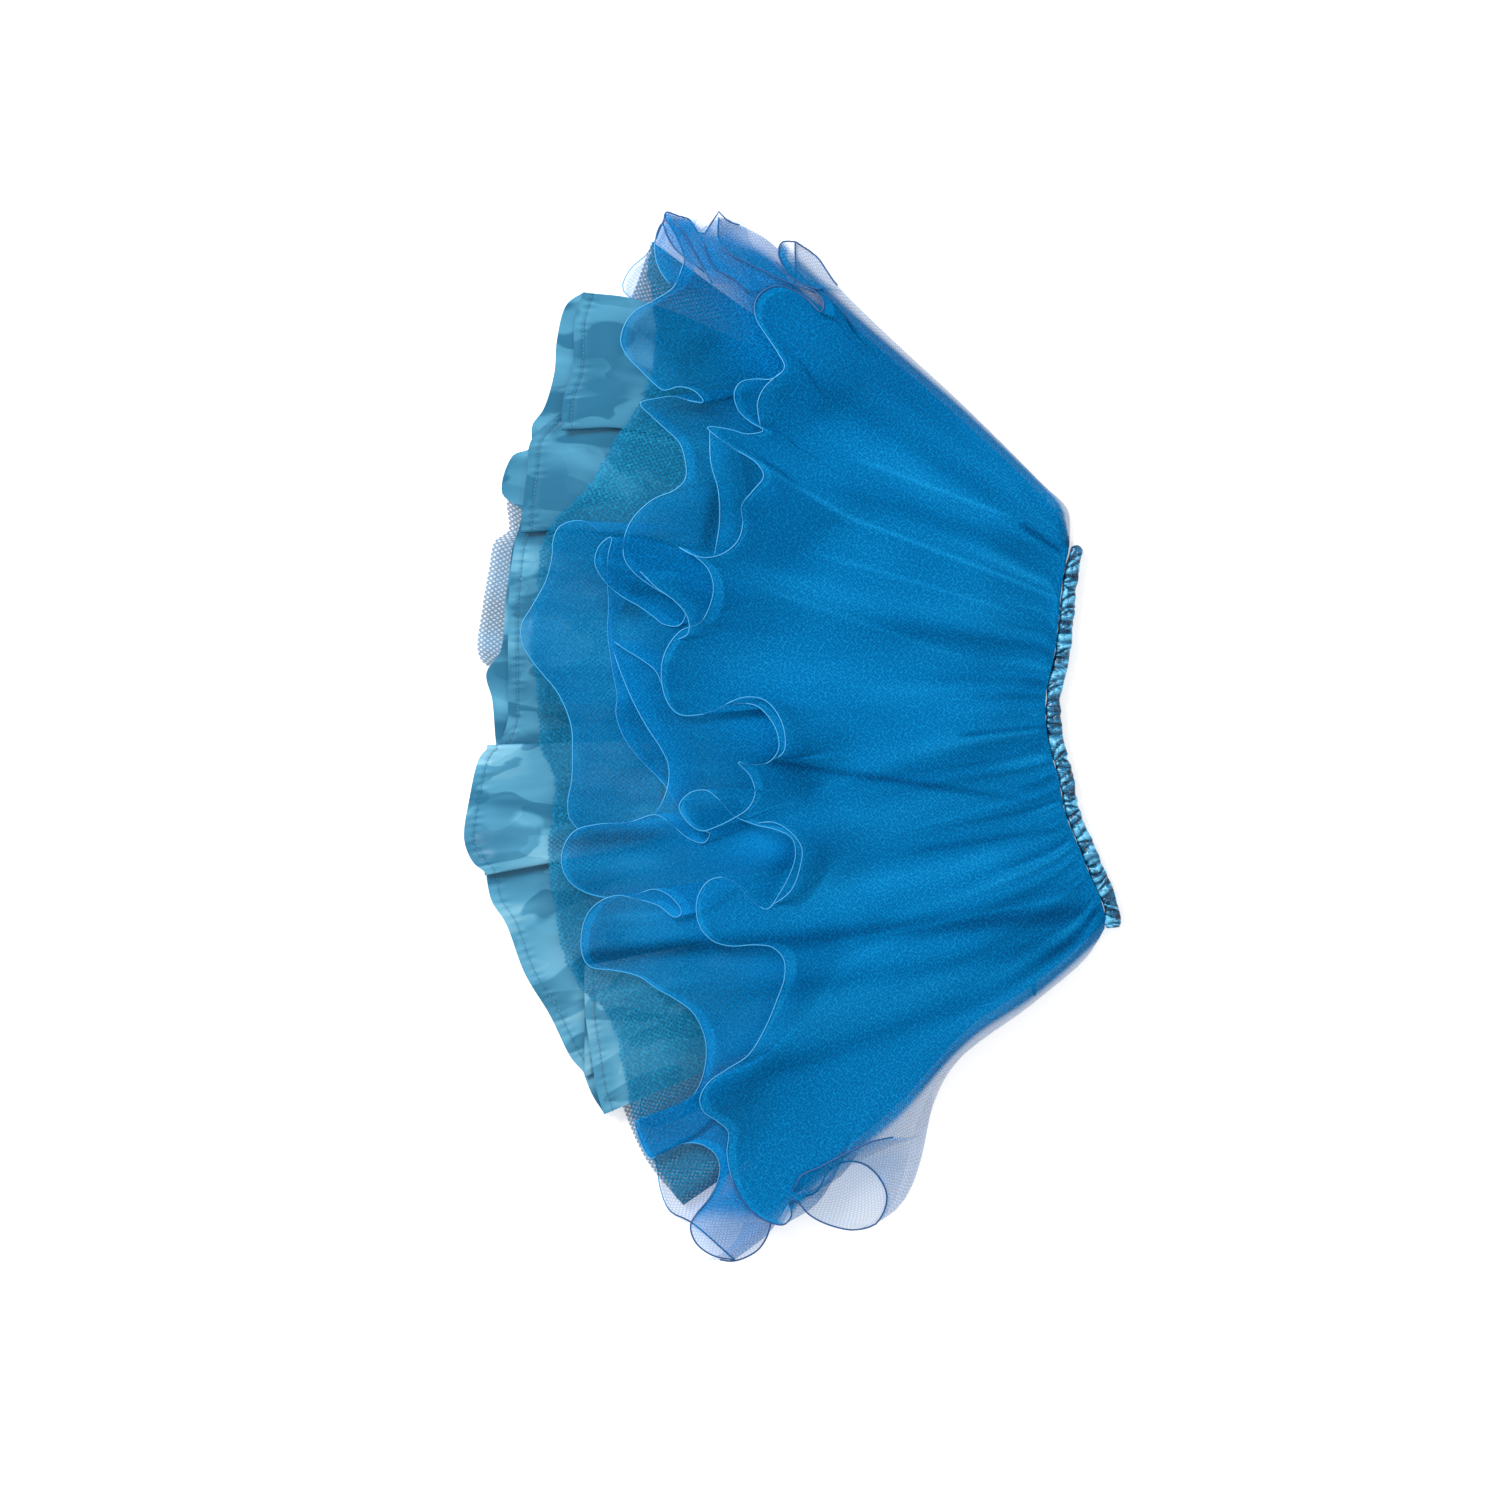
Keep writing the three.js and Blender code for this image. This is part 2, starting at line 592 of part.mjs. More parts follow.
// ---- hanger ribbons -----------------------------------------------------------------------
// A narrow ribbon between the two back tulle panels, along the middle line given.
function ribbon(path) {
  const points = path.map(flat);
  const half = RIBBON_WIDTH / 2;
  const offset = (i, sign) => {
    const before = points[Math.max(i - 1, 0)];
    const after = points[Math.min(i + 1, points.length - 1)];
    const tangent = after.clone().sub(before).normalize();
    return new THREE.Vector2(
      points[i].x - sign * half * tangent.y,
      points[i].y + sign * half * tangent.x,
    );
  };
  const left = points.map((_, i) => offset(i, 1));
  const right = points.map((_, i) => offset(i, -1)).reverse();
  const shape = new THREE.Shape([...left, ...right]);
  const geometry = new THREE.ExtrudeGeometry(shape, { depth: RIBBON, bevelEnabled: false });
  return geometry.translate(0, 0, Z_RIBBON);
}

const RIBBONS = {
  hanger_ribbon_upper_a: [[221, 145], [210, 161], [206.5, 179], [206.5, 200]],
  hanger_ribbon_upper_b: [[224, 153], [218, 164], [214.5, 177], [216, 186], [220.5, 186.5]],
  hanger_ribbon_lower: [[250, -157], [224, -178], [202, -194], [198.5, -203], [198.5, -213]],
};

// ---- the skirt ----------------------------------------------------------------------------
function tulleSkirt() {
  const skirt = new THREE.Group();
  const lining = frontLining();
  skirt.add(
    piece("back_outer_tulle", backPanel("outer", HEM_BACK_OUTER), "tulle"),
    piece("back_inner_tulle", backPanel("inner", HEM_BACK_INNER), "innerTulle"),
    piece("back_net", backPanel("net", HEM_BACK_NET), "net"),
    piece("back_lining", backPanel("lining", HEM_BACK_LINING), "satin"),
    piece("front_lining", lining, "satin"),
    piece("front_net", frontPanel("net", HEM_FRONT_NET), "net"),
    piece("front_inner_tulle", frontPanel("inner", HEM_FRONT_INNER), "innerTulle"),
    piece("front_outer_tulle", frontPanel("outer", HEM_FRONT_OUTER), "tulle"),
    piece("waistband_back", bandRun(0, Z_FRONT - GAP, BAND_GATHERS / 2, 2), "band"),
    piece("waistband_front", bandRun(Z_FRONT, BAND_RISE, BAND_GATHERS, 2), "band"),
  );
  for (const [name, path] of Object.entries(RIBBONS)) {
    skirt.add(piece(name, ribbon(path), "ribbon"));
  }
  const box = new THREE.Box3().setFromObject(skirt);
  const centre = box.getCenter(new THREE.Vector3());
  skirt.position.set(-centre.x, -centre.y, -box.min.z);
  return skirt;
}

export default tulleSkirt();
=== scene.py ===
# %% [markdown]
# # A gathered tulle skirt, laid flat
#
# The real skirt is four tubes of cloth on one elastic waistband: two of soft tulle with a fine
# rolled edge, one of stiff coarse net, and a satin lining that is longest. Laid on a table, each
# tube is a back panel and a front panel. This lesson makes every panel as one thin sheet of
# points worked out from the cut, because cloth that lies flat is best steered by its outlines.

import math

import bpy
import numpy as np
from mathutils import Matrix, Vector


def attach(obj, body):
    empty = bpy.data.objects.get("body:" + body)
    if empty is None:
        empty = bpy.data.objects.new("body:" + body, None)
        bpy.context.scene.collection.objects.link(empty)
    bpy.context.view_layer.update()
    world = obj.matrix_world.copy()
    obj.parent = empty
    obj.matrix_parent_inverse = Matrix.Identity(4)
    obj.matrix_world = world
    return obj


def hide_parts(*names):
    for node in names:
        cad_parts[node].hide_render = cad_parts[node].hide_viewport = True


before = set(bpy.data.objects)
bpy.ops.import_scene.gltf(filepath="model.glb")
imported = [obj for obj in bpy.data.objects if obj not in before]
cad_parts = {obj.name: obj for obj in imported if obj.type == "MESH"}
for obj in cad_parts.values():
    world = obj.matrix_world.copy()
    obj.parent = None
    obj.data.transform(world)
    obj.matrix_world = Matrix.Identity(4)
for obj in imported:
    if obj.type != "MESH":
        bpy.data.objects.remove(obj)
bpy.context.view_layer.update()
MM = 0.001
ROOT = "root"


def placed(name, data):
    """A new object in the scene."""
    obj = bpy.data.objects.new(name, data)
    bpy.context.collection.objects.link(obj)
    return obj


# %% [markdown]
# ## Camera
#
# The skirt is seen from straight above. A camera far up with a long lens shows it almost without
# perspective, so a millimetre is as wide at the hem as at the waist.

# %% Camera
FRAME_PIXELS = 1512
MM_PER_PIXEL = 0.82
VIEW_CENTRE = (-29.9, -14.5)  # mm
CAMERA_HEIGHT = 3400.0  # mm, over the middle of the cloth's thickness
CLOTH_LEVEL = 12.0  # mm
SENSOR_WIDTH = 36.0  # mm

camera_data = bpy.data.cameras.new("camera")
camera_data.sensor_width = SENSOR_WIDTH
camera_data.lens = SENSOR_WIDTH * CAMERA_HEIGHT / (FRAME_PIXELS * MM_PER_PIXEL)
camera_data.clip_end = 20.0
camera = placed("camera", camera_data)
camera.location = (VIEW_CENTRE[0] * MM, VIEW_CENTRE[1] * MM, (CAMERA_HEIGHT + CLOTH_LEVEL) * MM)
bpy.context.scene.camera = camera
print(f"lens {camera_data.lens:.0f} mm")

# %% [markdown]
# ## Light
#
# One large soft light from the upper left, with a weak one opposite, shapes the folds, and a white
# world fills the shadows. The Standard view keeps dyed cloth as strong as it was mixed.


# %% Lights
def soft_light(name, place, size, watts, tint=(1.0, 1.0, 1.0)):
    """A square area light that looks at the skirt's middle."""
    data = bpy.data.lights.new(name, "AREA")
    data.shape = "SQUARE"
    data.size = size
    data.energy = watts
    data.color = tint
    lamp = placed(name, data)
    lamp.location = place
    lamp.rotation_euler = (-Vector(place)).to_track_quat("-Z", "Y").to_euler()
    return lamp


soft_light("key_light", (-1.5, 1.3, 1.5), 1.0, 56)
soft_light("fill_light", (1.6, -0.9, 1.9), 1.8, 12)
world = bpy.data.worlds.new("studio")
world.use_nodes = True
world.node_tree.nodes["Background"].inputs["Color"].default_value = (1.0, 1.0, 1.0, 1.0)
world.node_tree.nodes["Background"].inputs["Strength"].default_value = 0.5
bpy.context.scene.world = world
bpy.context.scene.view_settings.view_transform = "Standard"
print(len(bpy.data.lights), "soft lights")

# %% [markdown]
# ## The cut and the lie of the cloth
#
# A skirt tube has a waist edge, two side folds and a hem. The tables give those lines on the
# table top in millimetres, x towards the waist and y across, the upper side first. They are the
# same lines that the solid pieces are built from, so each sheet lies on its own solid.

# %% Sizes in millimetres
SHIFT = (0.406, 1.467)  # the frame's origin is the middle of the laid skirt's box
CLOTH = 1.0  # wall of a solid panel
STEP = CLOTH + 0.3  # from one pressed panel to the next
RIBBON_SLOT = 1.4  # room for the hanger ribbons between the two back tulle panels
AIR = 1.6  # extra air between two front layers, in full AIR_START from the waist seam
AIR_START = 60.0
BAND_WIDTH = 12.0
BAND_GATHERS = 46
SEAM_ROOM = 0.6  # between the waistband and the cloth
NEST = 4.2  # each tube inside another starts this much further in at the waist
ROLL = 11.0  # a panel comes down to the table over this distance from its side fold
Z_BACK = {"outer": 0.0, "inner": CLOTH + RIBBON_SLOT}
Z_BACK["net"] = Z_BACK["inner"] + STEP
Z_BACK["lining"] = Z_BACK["net"] + STEP
Z_FRONT = Z_BACK["lining"] + STEP
print(f"front panels start {Z_FRONT:.1f} mm above the table")

# %% [markdown]
# ### Waistband and side folds
#
# The band runs as one bent line. Each side fold runs from the waist, where the cloth leaves the
# band, to the hem's corner. The two tulle tubes bow out, the net and the lining run straighter.

# %% Waistband and side folds
BAND_LINE = [
    (234, 157), (228, 129), (225, 100), (221, 66), (214, 32), (216, -3),
    (224, -32), (230, -62), (241, -89), (251, -114), (261, -138), (263, -157),
]
SIDES = {
    "outer": {
        "upper": [(226, 187), (206, 207), (144, 269), (73, 335), (34, 374), (20, 394), (2, 407)],
        "lower": [(242, -181), (198, -219), (129, -272), (104, -314), (88, -369), (77, -391),
                  (57, -405)],
    },
    "inner": {
        "upper": [(219, 181), (203, 199), (140, 259), (55, 333), (6, 381), (-23, 410),
                  (-57, 424), (-104, 427)],
        "lower": [(198, -203), (146, -238), (84, -304), (29, -350), (-2, -382), (-19, -407),
                  (-48, -430)],
    },
    "net": {
        "upper": [(47, 288), (-116, 407)],
        "lower": [(84, -265), (-90, -385)],
    },
    "lining": {
        "upper": [(47, 276), (-121, 357), (-172, 365)],
        "lower": [(47, -224), (-155, -310)],
    },
}

# %% [markdown]
# ### Hems of the front panels
#
# These are the hems that the solids follow. The net's is a raw cut, and the ruffles of the tulle
# stand along the other two.

# %% Hems of the front panels
HEM_FRONT = {
    "outer": [
        (-12, 399), (-22, 384), (-30, 364), (-30, 343), (-13, 319), (-4, 297), (-17, 282),
        (-45, 276), (-42, 260), (-66, 246), (-31, 221), (2, 195), (-40, 184), (-43, 169),
        (-68, 148), (-66, 122), (-75, 94), (-99, 77), (-107, 46), (-99, 27), (-72, 19),
        (-45, 14), (-23, 7), (-12, -9), (-39, -23), (-32, -46), (-53, -67), (-30, -78),
        (-2, -86), (0, -97), (-16, -110), (-43, -126), (-66, -138), (-78, -150), (-66, -167),
        (-39, -171), (-16, -177), (-7, -196), (-16, -220), (-36, -248), (-62, -284),
        (-74, -300), (-63, -318), (-54, -341), (-43, -372), (-19, -380), (5, -386),
        (18, -394), (35, -401),
    ],
    "inner": [
        (-99, 407), (-90, 389), (-99, 366), (-129, 348), (-140, 327), (-129, 304),
        (-112, 286), (-125, 273), (-106, 251), (-89, 225), (-97, 200), (-121, 187),
        (-158, 179), (-191, 169), (-196, 148), (-213, 107), (-222, 82), (-205, 51),
        (-187, 23), (-180, -11), (-184, -46), (-130, -60), (-166, -72), (-187, -90),
        (-189, -106), (-171, -123), (-138, -130), (-162, -140), (-172, -160), (-171, -181),
        (-148, -191), (-112, -206), (-80, -229), (-71, -254), (-77, -283), (-97, -305),
        (-119, -333), (-110, -344), (-89, -346), (-66, -353), (-66, -368), (-78, -386),
        (-82, -406), (-71, -423),
    ],
    "net": [
        (-119, 386), (-113, 333), (-121, 284), (-146, 243), (-166, 209), (-201, 168),
        (-212, 112), (-215, 71), (-210, 38), (-207, -5), (-197, -32), (-196, -52),
        (-201, -93), (-198, -127), (-186, -185), (-173, -208), (-153, -226), (-139, -274),
        (-134, -302), (-125, -333), (-113, -351),
    ],
}

# %% [markdown]
# ### The lining's panels and knife folds
#
# The lining's hem is given panel by panel. Between two panels lies a knife fold: the crease in
# front, the lap of cloth that runs back under it, and the crease that sends it on.

# %% Panels and knife folds of the lining
LINING_PANELS = [
    [(-179, 342), (-181, 301), (-188, 278)],
    [(-215, 243), (-218, 219), (-221, 194)],
    [(-229, 155), (-233, 120), (-234, 79), (-234, 38), (-235, 10)],
    [(-257, -17), (-266, -52), (-270, -85), (-262, -104)],
    [(-248, -134), (-236, -153), (-220, -195), (-200, -228), (-182, -264)],
    [(-171, -205), (-170, -230), (-166, -257), (-161, -290)],
]
# Knife folds: the crease at the hem, the side on top (1 upper, -1 lower), the lap under it.
LINING_FOLDS = [
    {"x": -190, "y": 251, "over": 1, "lap": 20},
    {"x": -223, "y": 167, "over": 1, "lap": 15},
    {"x": -251, "y": -7, "over": -1, "lap": 22},
    {"x": -253, "y": -114, "over": 1, "lap": 16},
    {"x": -171, "y": -188, "over": -1, "lap": 92},
]
# Stations that round a crease and the under crease: share of the fold's height, step back.
CREASE = [(0.96, 3), (0.77, 0), (0.58, 3)]
UNDER_CREASE = [(0.42, -3), (0.23, 0), (0.04, -3)]

# %% [markdown]
# ### Hems of the back panels
#
# The back panels lie under all the rest, and only their hems peek out here and there.

# %% Hems of the back panels
HEM_BACK = {
    "lining": [
        (-186, 355), (-194, 325), (-196, 299), (-205, 269), (-214, 256), (-216, 237),
        (-230, 231), (-239, 200), (-222, 184), (-230, 157), (-236, 112), (-240, 71),
        (-252, 52), (-247, 30), (-244, -5), (-236, -52), (-236, -101), (-224, -159),
        (-199, -216), (-179, -257), (-165, -294),
    ],
    "net": [
        (-134, 358), (-175, 276), (-203, 243), (-224, 219), (-235, 194), (-234, 169),
        (-245, 161), (-250, 137), (-255, 108), (-259, 69), (-253, 59), (-224, 56),
        (-216, -5), (-220, -93), (-212, -134), (-195, -183), (-166, -224), (-142, -298),
        (-121, -347),
    ],
    "inner": [
        (-119, 398), (-134, 384), (-140, 368), (-121, 350), (-117, 325), (-142, 260),
        (-158, 210), (-166, 145), (-158, 79), (-150, 14), (-158, -52), (-166, -118),
        (-158, -175), (-142, -232), (-125, -282), (-125, -323), (-113, -347),
        (-109, -372), (-101, -390), (-84, -399),
    ],
    "outer": [
        (0, 368), (-27, 337), (-43, 292), (-60, 235), (-76, 161), (-84, 96), (-76, 30),
        (-84, -36), (-76, -101), (-84, -175), (-76, -241), (-68, -290), (-43, -335),
        (-20, -362), (5, -378), (19, -375), (29, -358), (41, -350), (57, -351), (69, -360),
        (77, -375), (76, -388), (68, -401),
    ],
}

# %% [markdown]
# ### Wired hems as they lie
#
# A tulle hem rolled over a fine line springs into loops. Each is followed here as it lies, loop by
# loop, by points one to two centimetres apart.

# %% Wired hems as they lie, loop by loop
WIRED_HEM = {
    "outer": [
        (-9, 405), (-12, 396), (-7, 384),
        (3, 374), (16, 366), (25, 355), (23, 347), (14, 356), (3, 364), (-11, 369),
        (-24, 365), (-31, 355), (-30, 342), (-21, 327), (-12, 313), (-7, 301), (-17, 292),
        (-31, 292), (-43, 289), (-48, 280), (-45, 267), (-35, 257), (-24, 250), (-37, 247),
        (-53, 251), (-70, 252), (-63, 245), (-47, 234), (-30, 223), (-24, 212), (-33, 200),
        (-42, 188), (-41, 174), (-45, 160), (-56, 150), (-71, 146), (-84, 149), (-94, 155),
        (-80, 147), (-69, 136), (-65, 122), (-68, 107), (-76, 93), (-91, 87), (-101, 76),
        (-107, 61), (-107, 42), (-102, 27), (-93, 18), (-75, 18), (-60, 23), (-44, 27),
        (-30, 25), (-20, 16), (-13, 3), (-12, -11), (-20, -21), (-34, -23), (-45, -21),
        (-35, -32), (-31, -47), (-37, -59), (-49, -67), (-61, -73), (-75, -77), (-86, -70),
        (-93, -57), (-84, -46), (-71, -44), (-61, -51), (-49, -64), (-31, -72), (-14, -76),
        (-1, -83), (2, -96), (-2, -111), (-11, -128), (-21, -141), (-34, -134),
        (-46, -121), (-57, -115), (-69, -118), (-77, -129), (-79, -143), (-75, -157),
        (-65, -167), (-51, -171), (-31, -170), (-17, -172), (-8, -181), (-7, -196),
        (-13, -214), (-23, -238), (-37, -260), (-55, -272), (-69, -282), (-76, -295),
        (-73, -306), (-62, -314), (-53, -323), (-54, -340), (-51, -358), (-43, -377),
        (-33, -389), (-20, -397), (-7, -399), (-1, -391), (-3, -383), (-1, -378),
        (4, -381), (13, -391), (25, -398), (41, -403),
    ],
    "inner": [
        (-106, 422), (-99, 414), (-93, 404), (-89, 392), (-92, 381), (-98, 368),
        (-113, 358), (-130, 348), (-138, 337), (-141, 323), (-136, 312), (-125, 300),
        (-115, 290), (-106, 283), (-93, 286), (-80, 282), (-73, 273), (-83, 274),
        (-97, 278), (-112, 276), (-125, 272), (-116, 262), (-104, 251), (-93, 240),
        (-88, 225), (-88, 210), (-97, 201), (-112, 195), (-123, 187), (-133, 175),
        (-138, 161), (-138, 146), (-130, 134), (-114, 122), (-98, 112), (-88, 101),
        (-93, 91), (-106, 92), (-114, 98), (-125, 106), (-142, 116), (-155, 128),
        (-162, 142), (-158, 156), (-148, 163), (-151, 149), (-152, 128), (-151, 108),
        (-152, 87), (-150, 69), (-147, 50), (-144, 32), (-145, 20), (-141, 5), (-133, -9),
        (-121, -23), (-108, -36), (-98, -50), (-89, -65), (-79, -76), (-68, -79),
        (-73, -87), (-86, -83), (-99, -72), (-112, -64), (-134, -70), (-161, -72),
        (-178, -77), (-187, -89), (-189, -104), (-184, -117), (-171, -127), (-150, -132),
        (-130, -130), (-113, -125), (-99, -132), (-91, -144), (-96, -148), (-111, -138),
        (-128, -133), (-144, -130), (-158, -135), (-168, -145), (-173, -161), (-172, -179),
        (-166, -188), (-147, -191), (-126, -196), (-111, -206), (-97, -214), (-83, -224),
        (-75, -237), (-71, -252), (-72, -270), (-77, -286), (-87, -301), (-95, -312),
        (-107, -319), (-119, -320), (-129, -314), (-125, -331), (-116, -345), (-105, -337),
        (-91, -333), (-77, -333), (-65, -340), (-60, -351), (-62, -365), (-69, -379),
        (-79, -391), (-84, -401), (-80, -414), (-68, -424),
    ],
}

# %% [markdown]
# ### Creases and ruffles
#
# Long creases fan out of the waist gathers, and ruffles stand along the two tulle hems. A ruffle is
# highest where its hem is drawn furthest in, and lies flat near the hem's two ends.

# %% Creases and ruffles
CREASES = [
    {"from": (215, 40), "to": (30, -46), "rise": 3.2, "width": 24},
    {"from": (244, -170), "to": (-76, -216), "rise": 3.0, "width": 26},
    {"from": (222, 140), "to": (10, 210), "rise": 2.8, "width": 25},
    {"from": (218, 90), "to": (-60, 130), "rise": 2.4, "width": 28},
    {"from": (226, -60), "to": (-60, -110), "rise": 2.6, "width": 26},
    {"from": (214, 10), "to": (-80, 40), "rise": 2.2, "width": 24},
    {"from": (240, -110), "to": (-20, -260), "rise": 2.4, "width": 26},
]
RUFFLES = {
    "inner": {"reach": -225, "draw": 130, "rise": 10, "along": 15, "across": 36},
    "outer": {"reach": -112, "draw": 100, "rise": 11, "along": 16, "across": 34},
}
RUFFLE_FLAT_FROM = 290.0
RUFFLE_FLAT_OVER = 70.0

# %% [markdown]
# ## Smooth lines
#
# A seam or hem is a smooth line through a few chosen points. A centripetal spline passes through
# all of them without loops at tight bends. Smooth steps and bumps fade one form into the next.


# %% Smooth step and spline
def smooth(low, high, value):
    """Smooth step from 0 at low to 1 at high."""
    t = np.clip((np.asarray(value, float) - low) / (high - low), 0.0, 1.0)
    return t * t * (3.0 - 2.0 * t)


def bell(value, width):
    """A smooth bump: 1 where value is 0, and about a third of that at width."""
    return np.exp(-((value / width) ** 2))


def run_of(path):
    """Distance along a path at each of its points."""
    steps = np.linalg.norm(np.diff(path, axis=0), axis=1)
    return np.concatenate([[0.0], np.cumsum(steps)])


def spline_at(points, t):
    """Points of the centripetal spline through points, at t from 0 to 1 by its knots."""
    p = np.asarray(points, float)
    p = np.vstack([2 * p[0] - p[1], p, 2 * p[-1] - p[-2]])
    place = np.clip(np.asarray(t, float), 0.0, 1.0) * (len(p) - 3)
    i = np.minimum(place.astype(int), len(p) - 4)
    w = (place - i)[:, None]
    a, b, c, d = p[i], p[i + 1], p[i + 2], p[i + 3]
    ab, bc, cd = (np.sqrt(np.linalg.norm(v - u, axis=1))[:, None]
                  for u, v in ((a, b), (b, c), (c, d)))
    bc = np.maximum(bc, 1e-4)
    ab = np.where(ab < 1e-4, bc, ab)
    cd = np.where(cd < 1e-4, bc, cd)
    start = ((b - a) / ab - (c - a) / (ab + bc) + (c - b) / bc) * bc
    end = ((c - b) / bc - (d - b) / (bc + cd) + (d - c) / cd) * bc
    return (b + start * w + (3 * (c - b) - 2 * start - end) * w**2
            + (2 * (b - c) + start + end) * w**3)


# %% [markdown]
# ### A line by its length
#
# A table of lengths lets a point be asked for by its share of the way along. Four hundred short
# steps along the spline are enough for it.


# %% A line by its length
class Line:
    """A smooth line through points, asked by share of its length."""

    def __init__(self, points):
        self.points = np.asarray(points, float)
        self.knots = np.linspace(0.0, 1.0, 401)
        path = spline_at(self.points, self.knots)
        self.run = run_of(path)
        self.length = self.run[-1]

    def at(self, share):
        """Points at shares of the length."""
        share = np.clip(np.atleast_1d(np.asarray(share, float)), 0.0, 1.0)
        return spline_at(self.points, np.interp(share * self.length, self.run, self.knots))

    def tangent(self, share):
        """Unit directions at shares of the length."""
        share = np.atleast_1d(np.asarray(share, float))
        ahead = self.at(np.minimum(share + 0.002, 1.0))
        step = ahead - self.at(np.maximum(share - 0.002, 0.0))
        return step / np.linalg.norm(step, axis=1)[:, None]


# %% [markdown]
# ### Waist seam and side folds
#
# The cloth hangs from the band's lower edge, so the seam is the band's line moved out by half its
# width. The tubes nest: the lining takes the middle of the seam and the outer tulle all of it.

# %% Waist seam and side folds
BAND = Line(BAND_LINE)
seam_shares = np.linspace(0.0, 1.0, 25)
seam_way = BAND.tangent(seam_shares)
SEAM = Line(BAND.at(seam_shares) + np.stack([seam_way[:, 1], -seam_way[:, 0]], 1)
            * (BAND_WIDTH / 2 + SEAM_ROOM))
NESTS = {"outer": 0.0, "inner": 1.0, "net": 2.0, "lining": 4.3}


def waist_point(tube, share):
    """The place on the waist seam at a share of a tube's own width."""
    inset = NESTS[tube] * NEST / SEAM.length
    return SEAM.at(inset + np.asarray(share, float) * (1.0 - 2.0 * inset))


def side_lines(tube):
    """The two side folds of a tube, from the waist to the hem corner."""
    sides = SIDES[tube]
    return {
        "upper": Line([waist_point(tube, 0.0)[0], *sides["upper"]]),
        "lower": Line([waist_point(tube, 1.0)[0], *sides["lower"]]),
    }


print(f"waist seam {SEAM.length:.0f} mm, band {BAND.length:.0f} mm")

# %% [markdown]
# ### Knife folds from hem to waist
#
# Rows go along the hem in the order of the cloth: down a panel, round the crease, back along the
# lap and round the under crease. Each row notes how far every fold lifts it, from 0 under the
# fold to 1 on top, and each fold runs to the place on the waist that its cloth comes from.

# %% Knife folds from hem to waist
LAP_SHARE = 1.1  # a lap takes a little more of the waist than the panels do


def lining_stations():
    """Rows along the lining's hem in the order of the cloth: x, y, weight of cloth, lifts."""
    sides = SIDES["lining"]
    lifts = [1.0 if fold["over"] > 0 else 0.0 for fold in LINING_FOLDS]
    rows = [(*sides["upper"][-1], 0.0, *lifts)]
    for index, panel in enumerate(LINING_PANELS):
        rows += [(x, y, 1.0, *lifts) for x, y in panel]
        if index == len(LINING_FOLDS):
            break
        fold = LINING_FOLDS[index]
        over, lap = fold["over"], fold["lap"]
        turn = [(lift, fold["y"] + over * back) for lift, back in CREASE]
        turn += [(lift, fold["y"] + over * (lap + back)) for lift, back in UNDER_CREASE]
        for lift, y in turn if over > 0 else reversed(turn):
            lifts[index] = lift
            rows.append((fold["x"], y, LAP_SHARE, *lifts))
        lifts[index] = 0.0 if over > 0 else 1.0
    rows.append((*sides["lower"][-1], 1.0, *lifts))
    return np.array(rows, float)


rows = lining_stations()
chords = np.hypot(*np.diff(rows[:, :2], axis=0).T)
weighted = np.concatenate([[0.0], np.cumsum(chords * rows[1:, 2])])
row_shares = weighted / weighted[-1]
for fold in LINING_FOLDS:
    crease = np.flatnonzero((rows[:, 0] == fold["x"]) & (rows[:, 1] == fold["y"]))[0]
    fold["waist"] = tuple(waist_point("lining", row_shares[crease])[0])
print(len(LINING_FOLDS), "knife folds,", len(rows), "rows")

# %% [markdown]
# ## Heights
#
# Cloth that lies on cloth takes its height from everything under it. So the height of a layer is
# a sum: the pressed back panels, the knife folds of the lining, the long creases from the waist
# gathers, and the ruffles of each hem below. Adding them in order keeps every layer above the
# one it lies on, which a free simulation can't promise.


# %% Creases and knife folds
FOLD_RISE = 6.4
FOLD_DROP = 28.0  # how far a fold falls away on its open side
FOLD_SPREAD = 42.0  # and on its closed side, or more for a long lap
FOLD_SPREAD_PER_LAP = 2.4
FOLD_FADES_FROM = 0.8  # share of the way to the waist


def from_line(x, y, a, b):
    """Distance to the side of the line from a to b, and the share of the way along it."""
    dx, dy = b[0] - a[0], b[1] - a[1]
    length = math.hypot(dx, dy)
    side = ((x - a[0]) * dy - (y - a[1]) * dx) / length
    share = ((x - a[0]) * dx + (y - a[1]) * dy) / length**2
    return side, share


def crease_height(x, y):
    """Height of all the long creases, in mm."""
    height = np.zeros_like(x)
    for crease in CREASES:
        side, share = from_line(x, y, crease["from"], crease["to"])
        window = smooth(0.04, 0.3, share) * (1.0 - smooth(0.7, 1.05, share))
        height += crease["rise"] * window * bell(side, crease["width"])
    return height


def fold_height(fold, x, y):
    """Height of a knife fold, which falls away beside its crease and at the waist."""
    side, share = from_line(x, y, (fold["x"], fold["y"]), fold["waist"])
    top = -side * fold["over"]
    spread = max(FOLD_SPREAD, FOLD_SPREAD_PER_LAP * fold["lap"])
    width = np.where(top > 0, spread, FOLD_DROP)
    return FOLD_RISE * (1.0 - smooth(FOLD_FADES_FROM, 1.0, share)) * bell(top, width)


# %% [markdown]
# ### Ruffles and the table's edge
#
# Ruffles are rounded mounds, one at each point of the hem's line, averaged where they meet. Past
# the back lining's hem the front has less to lie on, so there it droops.

# %% Droop and ruffles
DROOP = 5.4
DROOP_FROM = 5.0  # mm past the back lining's hem
DROOP_TO = 30.0
WAVE_CALM = 0.25  # weight of flat cloth in the average


def back_lining_edge(y):
    """Where the back lining's hem lies, as x at y."""
    rows = sorted(HEM_BACK["lining"], key=lambda row: row[1])
    return np.interp(y, [row[1] for row in rows], [row[0] for row in rows])


def resting_height(x, y):
    """What the front rests on, in mm: lower past the back lining's hem."""
    edge = np.min([back_lining_edge(y + beside) for beside in (-8, 0, 8)], axis=0)
    return Z_FRONT - DROOP * smooth(DROOP_FROM, DROOP_TO, edge - x)


